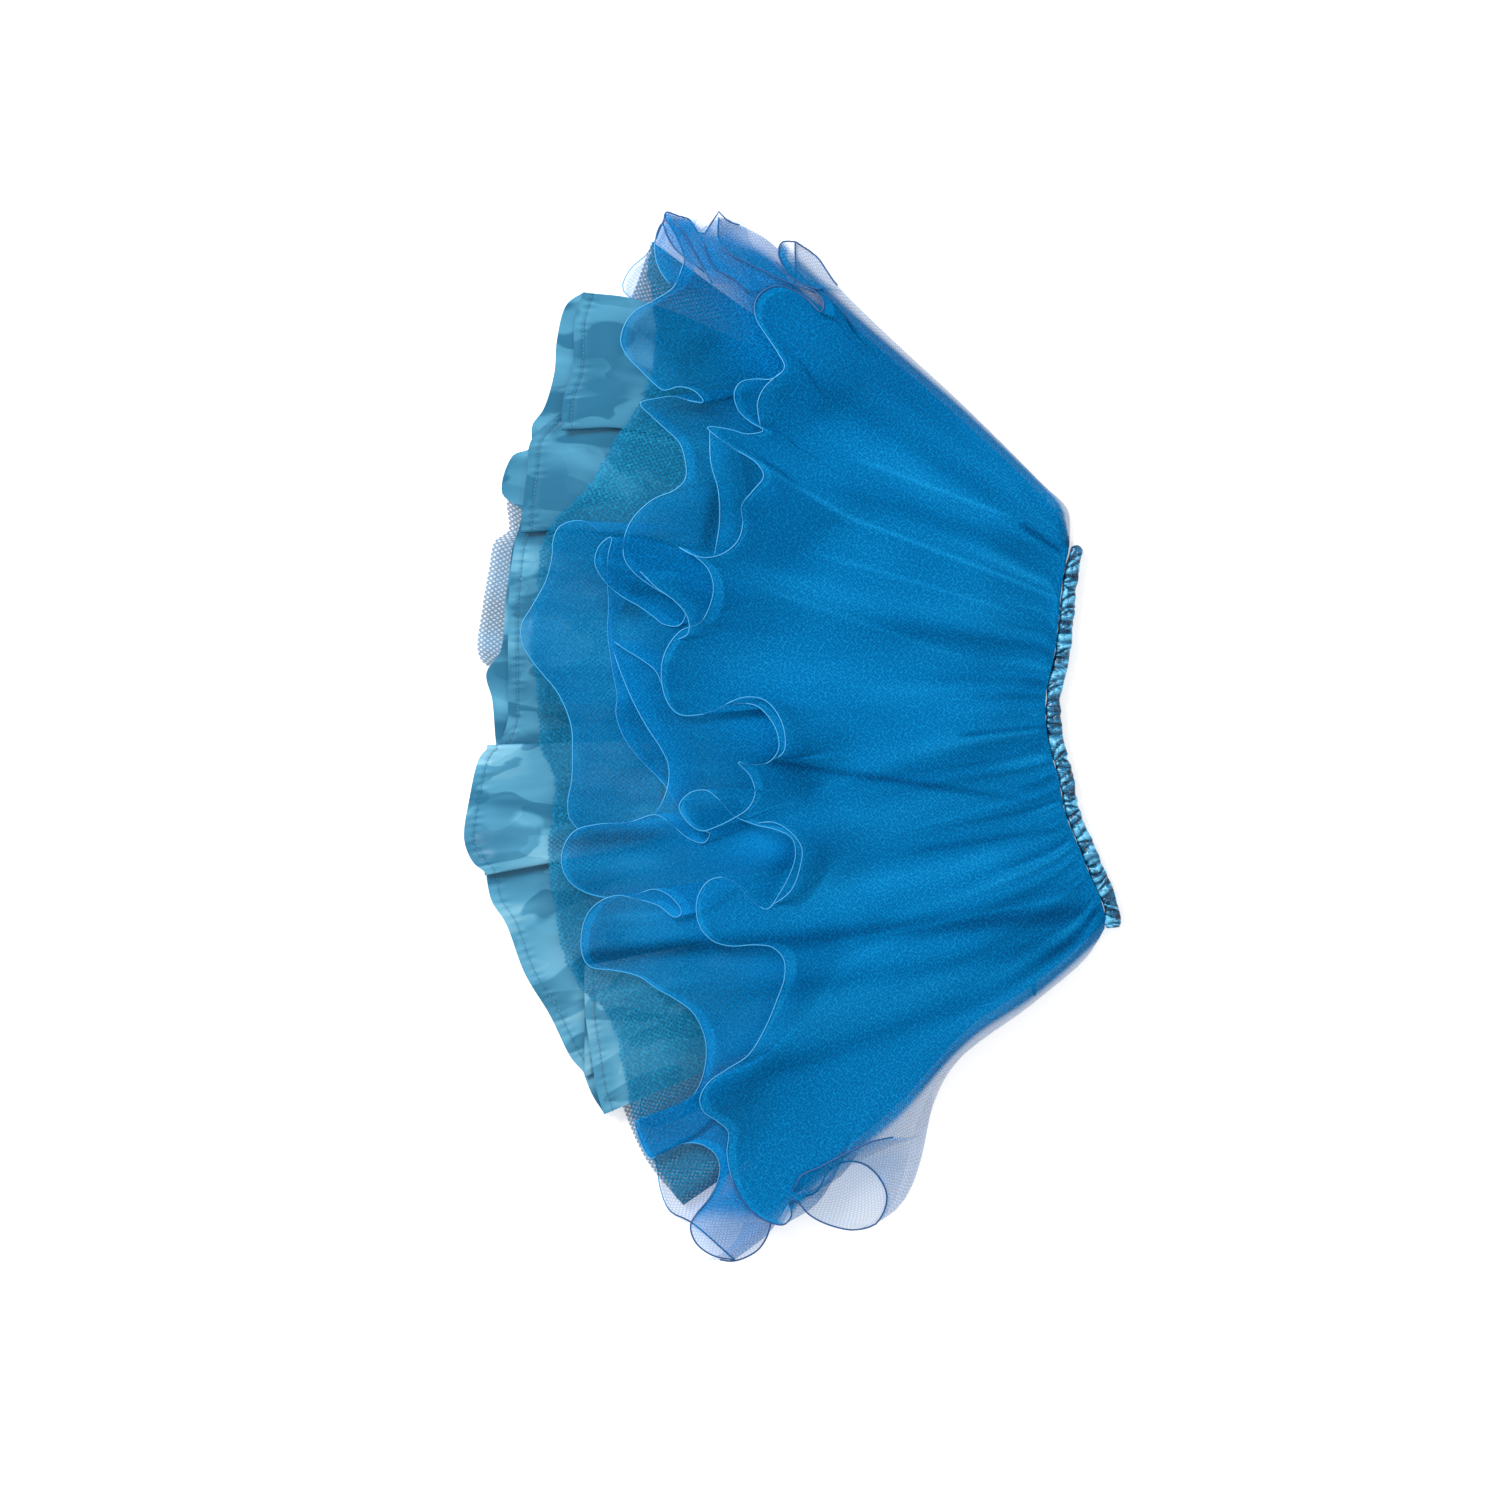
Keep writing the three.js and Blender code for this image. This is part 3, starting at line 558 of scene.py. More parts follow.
def ruffle_height(tube, x, y):
    """Height of a tube's ruffles, in mm."""
    spec = RUFFLES[tube]
    total = np.zeros_like(x)
    weight = np.full_like(x, WAVE_CALM)
    for hem_x, hem_y in HEM_FRONT[tube]:
        near = np.exp(-(((x - hem_x) / spec["across"]) ** 2) - ((y - hem_y) / spec["along"]) ** 2)
        lift = min(max((hem_x - spec["reach"]) / spec["draw"], 0.0), 1.0)
        lie = 1.0 - float(smooth(0.0, RUFFLE_FLAT_OVER, abs(hem_y) - RUFFLE_FLAT_FROM))
        total += near * spec["rise"] * lift * lie
        weight += near
    return total / weight


# %% [markdown]
# ### The sum of the heights
#
# Each front layer adds its own step, its air and the forms of all that lies under it.

# %% Height of a front layer
SEAM_SAMPLES = SEAM.at(np.linspace(0.0, 1.0, 31))


def nearest(x, y, samples):
    """Distance from each point to the nearest of a line's samples."""
    best = np.full(x.shape, 1e9)
    for px, py in samples:
        best = np.minimum(best, np.hypot(x - px, y - py))
    return best


FRONT_ORDER = ["lining", "net", "inner", "outer"]


def front_height(tube, x, y):
    """Height of a front layer's middle over the table, in mm."""
    level = FRONT_ORDER.index(tube)
    loose = np.minimum(nearest(x, y, SEAM_SAMPLES) / AIR_START, 1.0)
    height = resting_height(x, y) + CLOTH / 2 + level * (STEP + AIR * loose)
    height += crease_height(x, y)
    if level > 0:
        for fold in LINING_FOLDS:
            height += fold_height(fold, x, y)
    if level > 1:
        height += ruffle_height("inner", x, y)
    if level > 2:
        height += ruffle_height("outer", x, y)
    return height


# %% [markdown]
# ## A panel as a sheet of points
#
# Each point of a panel has a share across the waist and a share down to the hem. Near a side the
# panel follows the curve of its side fold, and towards the middle it runs straight, as gathered
# cloth does. The last rows may be drawn aside, so that the hem curls over itself as a rolled
# edge does, without pulling on the cloth above.

# %% Panel points
BOW_FULL = 0.93
BOW_NONE = 0.45


def between(start, end, share):
    """Points at each share of the way from one row of points to another."""
    return start[:, None, :] * (1 - share)[None, :, None] + end[:, None, :] * share[None, :, None]


def panel_points(tube, shares, hem, down):
    """Plan points, across by down, between the waist seam and the hem points."""
    sides = side_lines(tube)
    waist = waist_point(tube, shares)
    down = np.asarray(down, float)
    grid = between(waist, hem, down)
    for name, near in (("upper", 1.0 - shares), ("lower", shares)):
        line = sides[name]
        chord = line.points[0] * (1 - down)[:, None] + line.points[-1] * down[:, None]
        bow = line.at(down) - chord
        grid += bow[None, :, :] * smooth(BOW_NONE, BOW_FULL, near)[:, None, None]
    return grid


def hem_run(tube, rows, spacing):
    """Hem points at an even spacing, with the share of the waist that each one takes."""
    sides = SIDES[tube]
    ends = np.array([sides["upper"][-1], *rows, sides["lower"][-1]], float)
    run = run_of(ends)
    count = int(run[-1] / spacing)
    at = np.linspace(0.0, run[-1], count + 1)
    knots = np.interp(at, run, np.linspace(0.0, 1.0, len(ends)))
    return spline_at(ends, knots), at / run[-1], run[-1]


# %% [markdown]
# ### A mesh from a sheet of points
#
# A grid of points becomes one mesh of four-sided faces. Its UV map is the cloth itself in metres,
# and two numbers on each point tell the material how closely its threads lie and how light it is
# drawn, painted light and shade included.


# %% Mesh from a sheet of points
def cloth_object(name, grid, material, density=None, tone=None):
    """A sheet through grid[across, down, xyz] in mm, with cloth UVs in metres.

    Density says how closely the threads lie and tone how light the cloth is drawn, painted light
    and shade included, both 0 to 1.
    """
    across, down = grid.shape[:2]
    points = (grid.reshape(-1, 3) + (SHIFT[0], SHIFT[1], 0.0)) * MM
    a = np.arange(across - 1)[:, None] * down + np.arange(down - 1)[None, :]
    faces = np.stack([a, a + 1, a + down + 1, a + down], -1).reshape(-1, 4)
    mesh = bpy.data.meshes.new(name)
    mesh.from_pydata(points.tolist(), [], faces.tolist())
    run_across = run_of(grid[:, -1])
    step_down = np.linalg.norm(np.diff(grid, axis=1), axis=2).mean(axis=0)
    run_down = np.concatenate([[0.0], np.cumsum(step_down)])
    uv = np.stack(np.meshgrid(run_across * MM, run_down * MM, indexing="ij"), -1).reshape(-1, 2)
    layer = mesh.uv_layers.new(name="cloth")
    loops = np.empty(len(mesh.loops), dtype=np.int32)
    mesh.loops.foreach_get("vertex_index", loops)
    layer.data.foreach_set("uv", uv[loops].ravel())
    for label, field in (("cover", density), ("tone", tone)):
        if field is not None:
            values = mesh.attributes.new(label, "FLOAT", "POINT")
            values.data.foreach_set("value", np.clip(field, 0.0, 1.0).ravel())
    mesh.shade_smooth()
    mesh.materials.append(material)
    return placed(name, mesh)


# %% [markdown]
# ### Joining and measuring
#
# Small sheets of one panel become one object, and the area of a sheet is that of its triangles.


# %% Joining and measuring
def joined(name, objects):
    """Several objects made one, under one name."""
    with bpy.context.temp_override(active_object=objects[0], selected_editable_objects=objects):
        bpy.ops.object.join()
    objects[0].name = name
    objects[0].data.name = name
    return objects[0]


def sheet_area(grid):
    """Area of a sheet of points, in square metres."""
    a, b, c, d = grid[:-1, :-1], grid[1:, :-1], grid[1:, 1:], grid[:-1, 1:]
    first = np.linalg.norm(np.cross(b - a, c - a), axis=-1)
    second = np.linalg.norm(np.cross(c - a, d - a), axis=-1)
    return float((first + second).sum()) / 2 * MM * MM


# %% [markdown]
# ## Materials
#
# Every colour is an sRGB hex value that one function turns to linear light. One helper adds a
# shader node with its settings and links. Patterns are worked out from real sizes in metres, on
# the cloth's own UV map, so that the weave turns with the cloth.


# %% Material helpers
def colour(hex_text):
    """sRGB hex to linear RGBA."""
    parts = [int(hex_text[k:k + 2], 16) / 255 for k in (1, 3, 5)]
    linear = [c / 12.92 if c <= 0.04045 else ((c + 0.055) / 1.055) ** 2.4 for c in parts]
    return (*linear, 1.0)


def new_material(name):
    """A material with an empty node tree."""
    material = bpy.data.materials.new(name)
    material.use_nodes = True
    material.node_tree.nodes.clear()
    return material


def add(material, kind, settings=None, **links):
    """Add one shader node: settings are its properties, links its inputs' values or sockets."""
    node = material.node_tree.nodes.new("ShaderNode" + kind)
    for key, value in (settings or {}).items():
        setattr(node, key, value)
    for key, value in links.items():
        number = key[0] == "i" and key[1:].isdigit()
        socket = node.inputs[int(key[1:]) if number else key.replace("_", " ")]
        if isinstance(value, bpy.types.NodeSocket):
            material.node_tree.links.new(value, socket)
        else:
            socket.default_value = value
    return node


def finish_material(material, **links):
    """Close a material with one shader of these inputs."""
    shader = add(material, "BsdfPrincipled", **links)
    add(material, "OutputMaterial", Surface=shader.outputs[0])
    return material


# %% [markdown]
# ### Small parts of a pattern
#
# Most patterns need the same few steps: read a number off the cloth, take the cloth's UV map at
# some scale, spread a value over another range, add values up, and turn the sum into a colour.


# %% Pattern helpers
def attribute(material, name):
    """A number kept on the mesh's points."""
    return add(material, "Attribute", {"attribute_name": name}).outputs["Fac"]


def cloth_uv(material, scale=(1.0, 1.0, 1.0), turn=0.0):
    """The cloth's UV map, in metres, scaled to repeats."""
    uv = add(material, "UVMap", {"uv_map": "cloth"})
    return add(material, "Mapping", Vector=uv.outputs["UV"],
               Scale=scale, Rotation=(0.0, 0.0, turn)).outputs["Vector"]


def remap(material, value, to, of=(0.0, 1.0), kind="LINEAR"):
    """The value taken from one range to another."""
    return add(material, "MapRange", {"interpolation_type": kind}, Value=value, From_Min=of[0],
               From_Max=of[1], To_Min=to[0], To_Max=to[1]).outputs["Result"]


def total_of(material, *parts):
    """The sum of the parts, held between 0 and 1."""
    total = parts[0]
    for place, part in enumerate(parts[1:], 2):
        settings = {"operation": "ADD", "use_clamp": place == len(parts)}
        total = add(material, "Math", settings, i0=total, i1=part).outputs[0]
    return total


def ramp(material, factor, stops):
    """A colour ramp through (position, hex colour) stops."""
    node = add(material, "ValToRGB", Fac=factor)
    elements = node.color_ramp.elements
    for element, (position, tone) in zip((elements[0], elements[1]), (stops[0], stops[-1])):
        element.position = position
        element.color = colour(tone)
    for position, tone in stops[1:-1]:
        elements.new(position).color = colour(tone)
    return node.outputs["Color"]


# %% [markdown]
# ### Polyester satin
#
# Satin floats its shiny threads over four others at a time, so it is smooth and takes a bright
# soft highlight along each fold. Pressed cloth breaks that gloss into patches: wide soft ones,
# flatter facets and small chips. They are painted into the colour: the wide ones as painted sheen,
# the facets as painted shade and the chips as small painted glints and shade. The facets are also
# a bump, so that the cloth glints where the light turns.


# %% Satin
def satin_material(name, stops, patch, roughness=0.3):
    """Satin whose pressed patches are about patch metres wide."""
    material = new_material(name)
    # Painted sheen, painted shade and painted glints: wide soft patches, darker facets and small
    # chips.
    soft = add(material, "TexNoise", Vector=cloth_uv(material, (1.0, 0.6, 1.0)),
               Scale=0.55 / patch, Detail=2.0, Roughness=0.45, Distortion=0.5)
    sheen = remap(material, soft.outputs["Fac"], (-0.3, 0.3), (0.3, 0.7))
    pressed = add(material, "TexNoise", Vector=cloth_uv(material, (1.0, 0.45, 1.0), 0.35),
                  Scale=0.8 / patch, Detail=1.4, Roughness=0.45, Distortion=0.9)
    facet_shade = remap(material, pressed.outputs["Fac"], (0.0, -0.3), (0.54, 0.585), "SMOOTHSTEP")
    bent = add(material, "VectorMath", {"operation": "MULTIPLY_ADD"}, i0=pressed.outputs["Color"],
               i1=(patch, patch, 0.0), i2=cloth_uv(material, (1.0, 0.5, 1.0), 0.5))
    cells = add(material, "TexVoronoi", {"voronoi_dimensions": "2D"}, Vector=bent.outputs[0],
                Scale=1.5 / patch)
    chip_glint_and_shade = remap(material, cells.outputs["Color"], (-0.13, 0.13))
    level = total_of(material, sheen, facet_shade, chip_glint_and_shade, attribute(material, "tone"))
    # Real satin thread is 0.2 mm; the rib is drawn at 1.6 mm so that it shows.
    rib = add(material, "TexWave", {"bands_direction": "X"}, Vector=cloth_uv(material),
              Scale=1.0 / 0.0016 / 20)
    low = add(material, "Bump", Height=pressed.outputs["Fac"], Strength=0.7, Distance=0.004)
    high = add(material, "Bump", Height=rib.outputs["Fac"], Normal=low.outputs["Normal"],
               Strength=0.05, Distance=0.0004)
    return finish_material(material, Base_Color=ramp(material, level, stops), Roughness=roughness,
                           Normal=high.outputs["Normal"], IOR=1.5, Specular_IOR_Level=0.6)


# Ramp stops from painted shade through the satin's dye to painted highlight.
SATIN_DYE_SHADE_SHEEN = [(0.05, "#156b90"), (0.45, "#4d9cbf"), (0.85, "#86c6e0")]
BAND_DYE_SHADE_SHEEN = [(0.05, "#003858"), (0.45, "#147cac"), (0.85, "#6ecdf4")]
SATIN = satin_material("polyester_satin", SATIN_DYE_SHADE_SHEEN, 0.030)
BAND_SATIN = satin_material("gathered_band_satin", BAND_DYE_SHADE_SHEEN, 0.008, 0.26)
print(SATIN.name, "and", BAND_SATIN.name)

# %% [markdown]
# ### Tulle and net
#
# Tulle is a hexagonal net of very fine thread, and net is a coarser one of stiff yarn. Light goes
# through the holes, so each is a see-through sheet whose opacity follows how closely the cloth is
# gathered: dense at the waist and open towards the hem. A diamond mesh on the cloth's UV map cuts
# the opacity into threads and holes.


# %% Mesh of threads and holes
def mesh_pattern(material, cell, thread):
    """1 on the threads of a diamond mesh and 0 in its holes, cell and thread in metres."""
    turned = cloth_uv(material, (1.0 / cell, 0.8 / cell, 1.0), math.radians(45))
    settings = {"feature": "DISTANCE_TO_EDGE", "voronoi_dimensions": "2D"}
    cells = add(material, "TexVoronoi", settings, Vector=turned, Scale=1.0, Randomness=0.0)
    width = thread / cell
    return remap(material, cells.outputs["Distance"], (1.0, 0.0), (width * 0.4, width * 1.3),
                 "SMOOTHSTEP")


# %% [markdown]
# ### Colour of see-through cloth
#
# Three patterns make the colour uneven: slow clouds, specks about two cells wide as where two
# meshes shimmer one over the other, and an even weave as where gathered cloth is seen through
# itself. The weave lies on the object, not on the UV map, so it stays even over the gathers.


# %% Tulle and net
def net_material(name, stops, cell, thread, opacity, weave):
    """See-through cloth: opacity is that in a hole and on a thread of the open cloth."""
    material = new_material(name)
    mesh = mesh_pattern(material, cell, thread)
    alpha = add(material, "Mix", {"data_type": "FLOAT"}, Factor=attribute(material, "cover"),
                i2=remap(material, mesh, opacity), i3=remap(material, mesh, (0.84, 0.99)))
    cloud = add(material, "TexNoise", Vector=cloth_uv(material), Scale=9.0, Detail=3.0)
    drift = remap(material, cloud.outputs["Fac"], (-0.16, 0.16))
    specks = add(material, "TexNoise", Vector=cloth_uv(material, (0.55, 1.0, 1.0)),
                 Scale=1.1 / cell, Detail=2.0, Roughness=0.7)
    grain = remap(material, specks.outputs["Fac"], (-0.12, 0.12), (0.3, 0.7))
    place = add(material, "TexCoord").outputs["Object"]
    turned = add(material, "Mapping", Vector=place, Rotation=(0.0, 0.0, 0.6))
    over = add(material, "TexVoronoi", {"voronoi_dimensions": "2D", "feature": "F1"},
               Vector=turned.outputs["Vector"], Scale=1.0 / cell, Randomness=0.6)
    dots = remap(material, over.outputs["Distance"], (-weave, weave), (0.15, 0.7))
    # The tone attribute adds the painted light and shade of the folds.
    level = total_of(material, drift, grain, dots, attribute(material, "tone"))
    return finish_material(material, Base_Color=ramp(material, level, stops), Roughness=0.9,
                           IOR=1.45, Specular_IOR_Level=0.05, Alpha=alpha.outputs["Result"])


# Ramp stops: the middle is the dye, and the ends also carry the painted shade and highlights of the
# folds.
OUTER_DYE_AND_SHADE = [(0.1, "#00487c"), (0.5, "#0071b0"), (0.9, "#1496d8")]
INNER_DYE_AND_SHADE = [(0.1, "#004a80"), (0.5, "#007cc4"), (0.9, "#129cea")]
NET_DYE_AND_SHADE = [(0.1, "#004e70"), (0.5, "#0878a8"), (0.9, "#2aa6d2")]
# Soft tulle cells are 1.3 mm, drawn at 2.2 mm so that the mesh shows. Net cells are 2.5 mm,
# drawn at 2.8 mm.
OUTER_TULLE = net_material("outer_soft_tulle", OUTER_DYE_AND_SHADE, 0.0022, 0.0007, (0.06, 0.30), 0.16)
INNER_TULLE = net_material("inner_soft_tulle", INNER_DYE_AND_SHADE, 0.0022, 0.0007, (0.06, 0.34), 0.17)
NET = net_material("stiff_coarse_net", NET_DYE_AND_SHADE, 0.0028, 0.0008, (0.05, 0.68), 0.16)
print(OUTER_TULLE.name, INNER_TULLE.name, "and", NET.name)

# %% [markdown]
# ### Rolled edge cord, thread and ribbon
#
# The tulle hems are rolled over a fine nylon line, which makes them spring into curls and shows
# as a thin glossy line, light where blue cloth lies round it and dark where none does. Stitches
# are plain polyester thread. The hanger loops are dark ribbon.


# %% Edge, thread and ribbon
def plain_yarn(name, light, shade, roughness, grain, glow=0.0):
    """Matt yarn or paper with flecks about grain metres wide."""
    material = new_material(name)
    place = add(material, "TexCoord").outputs["Object"]
    fleck = add(material, "TexNoise", Vector=place, Scale=1.0 / grain, Detail=2.0)
    base = ramp(material, fleck.outputs["Fac"], [(0.35, shade), (0.65, light)])
    bump = add(material, "Bump", Height=fleck.outputs["Fac"], Strength=0.3, Distance=0.0003)
    return finish_material(material, Base_Color=base, Roughness=roughness, IOR=1.5,
                           Normal=bump.outputs["Normal"], Emission_Color=colour("#ffffff"),
                           Emission_Strength=glow)


def cord_material(name, in_light, in_shade):
    """Glossy line, whose tone says how much blue cloth lies round it."""
    material = new_material(name)
    base = ramp(material, attribute(material, "tone"), [(0.0, in_shade), (1.0, in_light)])
    return finish_material(material, Base_Color=base, Roughness=0.4, IOR=1.5)


EDGE_CORD = cord_material("rolled_nylon_edge", "#42ace6", "#245c98")
THREAD = plain_yarn("polyester_thread", "#5aa6c6", "#3a86ab", 0.5, 0.002)
RIBBON = plain_yarn("woven_ribbon", "#37697f", "#264f63", 0.45, 0.0015)
print(EDGE_CORD.name, THREAD.name, "and", RIBBON.name)

# %% [markdown]
# ## Floor
#
# The floor is plain and pale. It shines a little, as a lit light table does, so that the shadows on
# it stay faint, and it lies just under the cloth.

# %% Floor
FLOOR = plain_yarn("pale_paper_floor", "#fbfbfb", "#f7f7f7", 0.9, 0.4, 0.45)
FLOOR_HALF = 3.0
FLOOR_LEVEL = -0.0004
CORNERS = [(-1, -1), (1, -1), (1, 1), (-1, 1)]

floor_mesh = bpy.data.meshes.new("floor")
floor_mesh.from_pydata([(FLOOR_HALF * x, FLOOR_HALF * y, FLOOR_LEVEL) for x, y in CORNERS], [],
                       [(0, 1, 2, 3)])
floor_mesh.materials.append(FLOOR)
floor = placed("floor", floor_mesh)
print("floor", 2 * FLOOR_HALF, "m wide")

# %% [markdown]
# ## Fine folds from the gathers
#
# The cloth is much wider than the waist, so it is gathered there and falls in many fine folds.
# Each starts at the seam and dies out at its own distance. Their sizes are random from a fixed
# seed, so they come out the same on each run. They lift the sheet, pack its threads closer and
# are painted a little lighter or darker, as painted light and shade.

# %% Fine folds
random = np.random.default_rng(12)


def fine_folds(shares, down, waist_width, count, longest):
    """Height in mm, extra cover and painted light and shade of the fine folds, on an across by down
    grid.
    """
    height = np.zeros((len(shares), len(down)))
    dense = np.zeros_like(height)
    shade = np.zeros_like(height)
    for k in range(count):
        centre = (k + random.uniform(0.1, 0.9)) / count
        lean = random.normal(0.0, 0.012)
        reach = longest * random.uniform(0.15, 1.0) ** 1.5
        size = random.uniform(0.35, 1.5)
        width = random.uniform(1.2, 3.4)
        middle = centre + lean * down
        broad = width * (1.0 + 3.2 * down) / waist_width
        window = smooth(0.0, 0.03, down) * (1.0 - smooth(0.35 * reach, reach, down))
        shape = bell(shares[:, None] - middle[None, :], broad[None, :]) * window[None, :]
        height += size * shape
        dense += random.uniform(0.05, 0.4) * shape
        # Painted light and shade: each fold is drawn a little lighter or darker.
        shade += random.normal(0.0, 0.11) * shape
    return height, dense, shade


# %% [markdown]
# ## Wired hems
#
# A rolled edge is longer than the cloth it ends, so it springs into loops that lean over their
# own necks. The loops are listed one after the other, as one long line. The panel above
# follows that line smoothed over a hand's width, and little more than its last third is drawn out
# to the loops. Loops that stand further out also lie higher, so they pass over their neighbours.


# %% Loops of a wired hem
def smoothed(path, spacing, reach):
    """The path averaged over a reach in mm, its two ends kept in place."""
    half = int(3 * reach / spacing)
    weight = np.exp(-0.5 * (np.arange(-half, half + 1) * spacing / reach) ** 2)
    weight /= weight.sum()
    before = 2 * path[0] - path[half:0:-1]
    after = 2 * path[-1] - path[-2:-half - 2:-1]
    padded = np.vstack([before, path, after])
    return np.stack([np.convolve(padded[:, k], weight, "valid") for k in range(2)], 1)


def wired_hem(tube, spacing, reach=34.0):
    """Calm hem points, the offset of each to its loop, and its share of the way."""
    ends = [SIDES[tube]["upper"][-1], *WIRED_HEM[tube], SIDES[tube]["lower"][-1]]
    line = Line(ends)
    count = int(line.length / spacing)
    path = line.at(np.linspace(0.0, 1.0, count + 1))
    calm = smoothed(path, spacing, reach)
    run = run_of(calm)
    return calm, path - calm, run / run[-1], line.length


# %% [markdown]
# ### Sides and tips
#
# How deep a point lies inside a tube's side folds decides how much cloth is seen there. The inner
# tulle's upper edge has two pointed tips with a notch between them.


# %% Sides and tips
def inside_tube(tube, x, y):
    """How far points lie inside a tube's side folds, in mm, less than 0 outside."""
    ease = np.linspace(0.0, 1.0, 120)
    upper, lower = (side_lines(tube)[name].at(ease) for name in ("upper", "lower"))
    top = np.interp(x, upper[::-1, 0], upper[::-1, 1])
    bottom = np.interp(x, lower[::-1, 0], lower[::-1, 1])
    return np.minimum(top - y, y - bottom)


def side_points(x, y):
    """How far the inner tube's upper edge is moved out: a notch between two pointed tips."""
    near = smooth(372.0, 422.0, y)
    notch = -15.0 * bell(x + 75.0, 7.0) + 7.0 * bell(x + 60.0, 4.0)
    return near * (notch + 4.0 * bell(x + 104.0, 9.0))


# %% [markdown]
# ### Light and dark streaks
#
# The lie of gathered tulle shows more by how much of it lies one over the other than by its
# height: folded together it is dark, stretched it is light. The streaks also paint the light and
# shade of the folds: painted shade in their valleys and in the pockets under them, and painted
# highlights along the fine folds that catch the light. Each row is one such long streak.


# %% Light and dark streaks
def streaks(x, y, table):
    """Painted light and shade of long folds, and their layering: each row is from, to, width in mm
    and how much lighter.
    """
    total = np.zeros_like(x)
    for start, end, width, lighter in table:
        side, share = from_line(x, y, start, end)
        window = smooth(-0.08, 0.12, share) * (1.0 - smooth(0.75, 1.1, share))
        total += lighter * window * bell(side, width)
    return total


# Painted shade and painted highlights of the folds, with the darker and lighter layering of the
# tulle.
STREAKS = [
    ((219, 1), (30, -44), 7, -0.14), ((244, -167), (-76, -216), 9, -0.16),
    ((219, 145), (6, 210), 8, -0.12), ((240, -120), (60, -160), 7, -0.12),
    ((262, -141), (-172, -183), 8, -0.30), ((215, 60), (40, 96), 9, -0.10),
    ((218, 90), (-60, 130), 12, 0.10), ((200, -40), (-60, -90), 14, 0.08),
    ((120, 40), (-90, 60), 16, 0.10), ((180, -100), (-20, -130), 12, 0.10),
    ((180, -180), (-60, -260), 16, 0.10), ((150, -215), (-80, -296), 8, -0.14),
    ((170, 190), (20, 290), 10, -0.10), ((20, -46), (-20, -10), 13, -0.18),
    ((-40, -60), (-78, -76), 13, -0.2), ((0, -90), (-26, -140), 10, -0.2),
    ((-66, 244), (58, 172), 2.0, 0.26), ((44, 180), (226, 110), 2.0, 0.22),
    ((51, 228), (188, 176), 1.8, 0.18), ((20, 150), (200, 96), 1.8, 0.14),
    ((186, 174), (222, 150), 3.0, -0.34), ((135, 1), (212, 9), 2.4, -0.30),
    ((-24, -20), (190, -52), 3.0, -0.26), ((98, -94), (236, -73), 3.0, -0.16),
    ((30, -170), (240, -128), 2.4, 0.16), ((-20, 120), (150, 60), 2.0, 0.12),
    ((-60, 210), (-72, 150), 6, -0.30), ((-150, -40), (-110, -20), 8, -0.2),
    ((-160, 110), (-120, 100), 8, -0.24), ((-60, 330), (-100, 300), 10, -0.08),
    ((-230, 85), (-120, 80), 22, 0.24), ((-215, 16), (-90, 16), 12, -0.26),
    ((-205, -88), (-100, -80), 6, -0.24), ((-205, -107), (-100, -100), 9, 0.24),
    ((-160, -248), (-90, -264), 26, 0.22), ((-190, 215), (-120, 205), 18, 0.2),
    ((-176, -181), (-60, -168), 6, -0.34), ((-150, 300), (-90, 290), 20, 0.14),
    ((-130, -64), (-80, -60), 8, 0.2), ((-150, 36), (-110, 52), 6, 0.2),
    ((-205, 60), (-90, 66), 3, 0.16), ((-200, 30), (-80, 34), 2.6, 0.14),
    ((-196, -20), (-60, -26), 3, 0.16), ((-190, -44), (-70, -58), 5, -0.2),
    ((-186, 150), (-80, 128), 3, 0.14), ((-180, 128), (-70, 112), 5, -0.16),
    ((-175, -150), (-70, -142), 3, 0.18), ((-170, -215), (-70, -196), 4, 0.16),
    ((-140, -160), (40, -130), 52, 0.18), ((-130, -60), (10, -76), 30, 0.12),
    ((-60, -250), (150, -160), 24, 0.08), ((-225, 60), (-190, 20), 26, -0.1),
    ((-150, 250), (-60, 236), 4, 0.14), ((-140, 280), (-50, 262), 5, -0.14),
]
print(len(STREAKS), "streaks")

# %% [markdown]
# ### Rows of a front panel
#
# A raw cut edge is never quite even, while a wired one is drawn out to its loops. Its last rows lie
# closer together, where the edge is rolled.

# %% Rows of a front panel
PANEL_STEP = {"outer": 2.7, "inner": 3.2, "net": 5.0}  # mm along the hem
PANEL_DOWN = {"outer": 66, "inner": 74, "net": 64}  # rows before the hem part
HEM_DOWN = 15  # rows in the hem part
HEM_PART = 0.955  # share down at which it starts
RAW_EDGE = 0.9  # mm


def panel_hem(tube):
    """Calm hem points, their offsets to the loops, shares of the waist and the hem's length."""
    if tube in WIRED_HEM:
        return wired_hem(tube, PANEL_STEP[tube])
    hem, shares, length = hem_run(tube, HEM_FRONT[tube], PANEL_STEP[tube])
    uneven = random.normal(0.0, RAW_EDGE, hem.shape)
    uneven[[0, -1]] = 0.0
    return hem, uneven, shares, length


def way_to_hem(grid):
    """How far each point is from its hem end along the cloth, in mm."""
    back = np.linalg.norm(np.diff(grid[:, ::-1], axis=1), axis=2).cumsum(axis=1)[:, ::-1]
    return np.concatenate([back, np.zeros((len(back), 1))], axis=1)


# %% [markdown]
# ### Cover of a front panel
#
# Cover is how much the cloth hides. Tulle hides more in its rolled hem band, along its sides, where
# it is bunched, and in its hem's corners. It hides least where one layer alone lies on the floor.

# %% Cover of a front panel
EDGE_BAND = 6.0  # mm, how far a rolled edge packs the tulle beside it


def rolled_band(grid, run):
    """1 in the rolled hem band, which is unevenly wide, and more on its folded line."""
    to_hem = way_to_hem(grid)
    band = EDGE_BAND + 3.0 * np.sin(run / 37.0)[:, None]
    folded = bell(to_hem - band, 1.0) * (0.5 + 0.5 * np.sin(run / 61.0))[:, None]
    return 1.0 - smooth(0.8, 1.1, to_hem / band) + folded


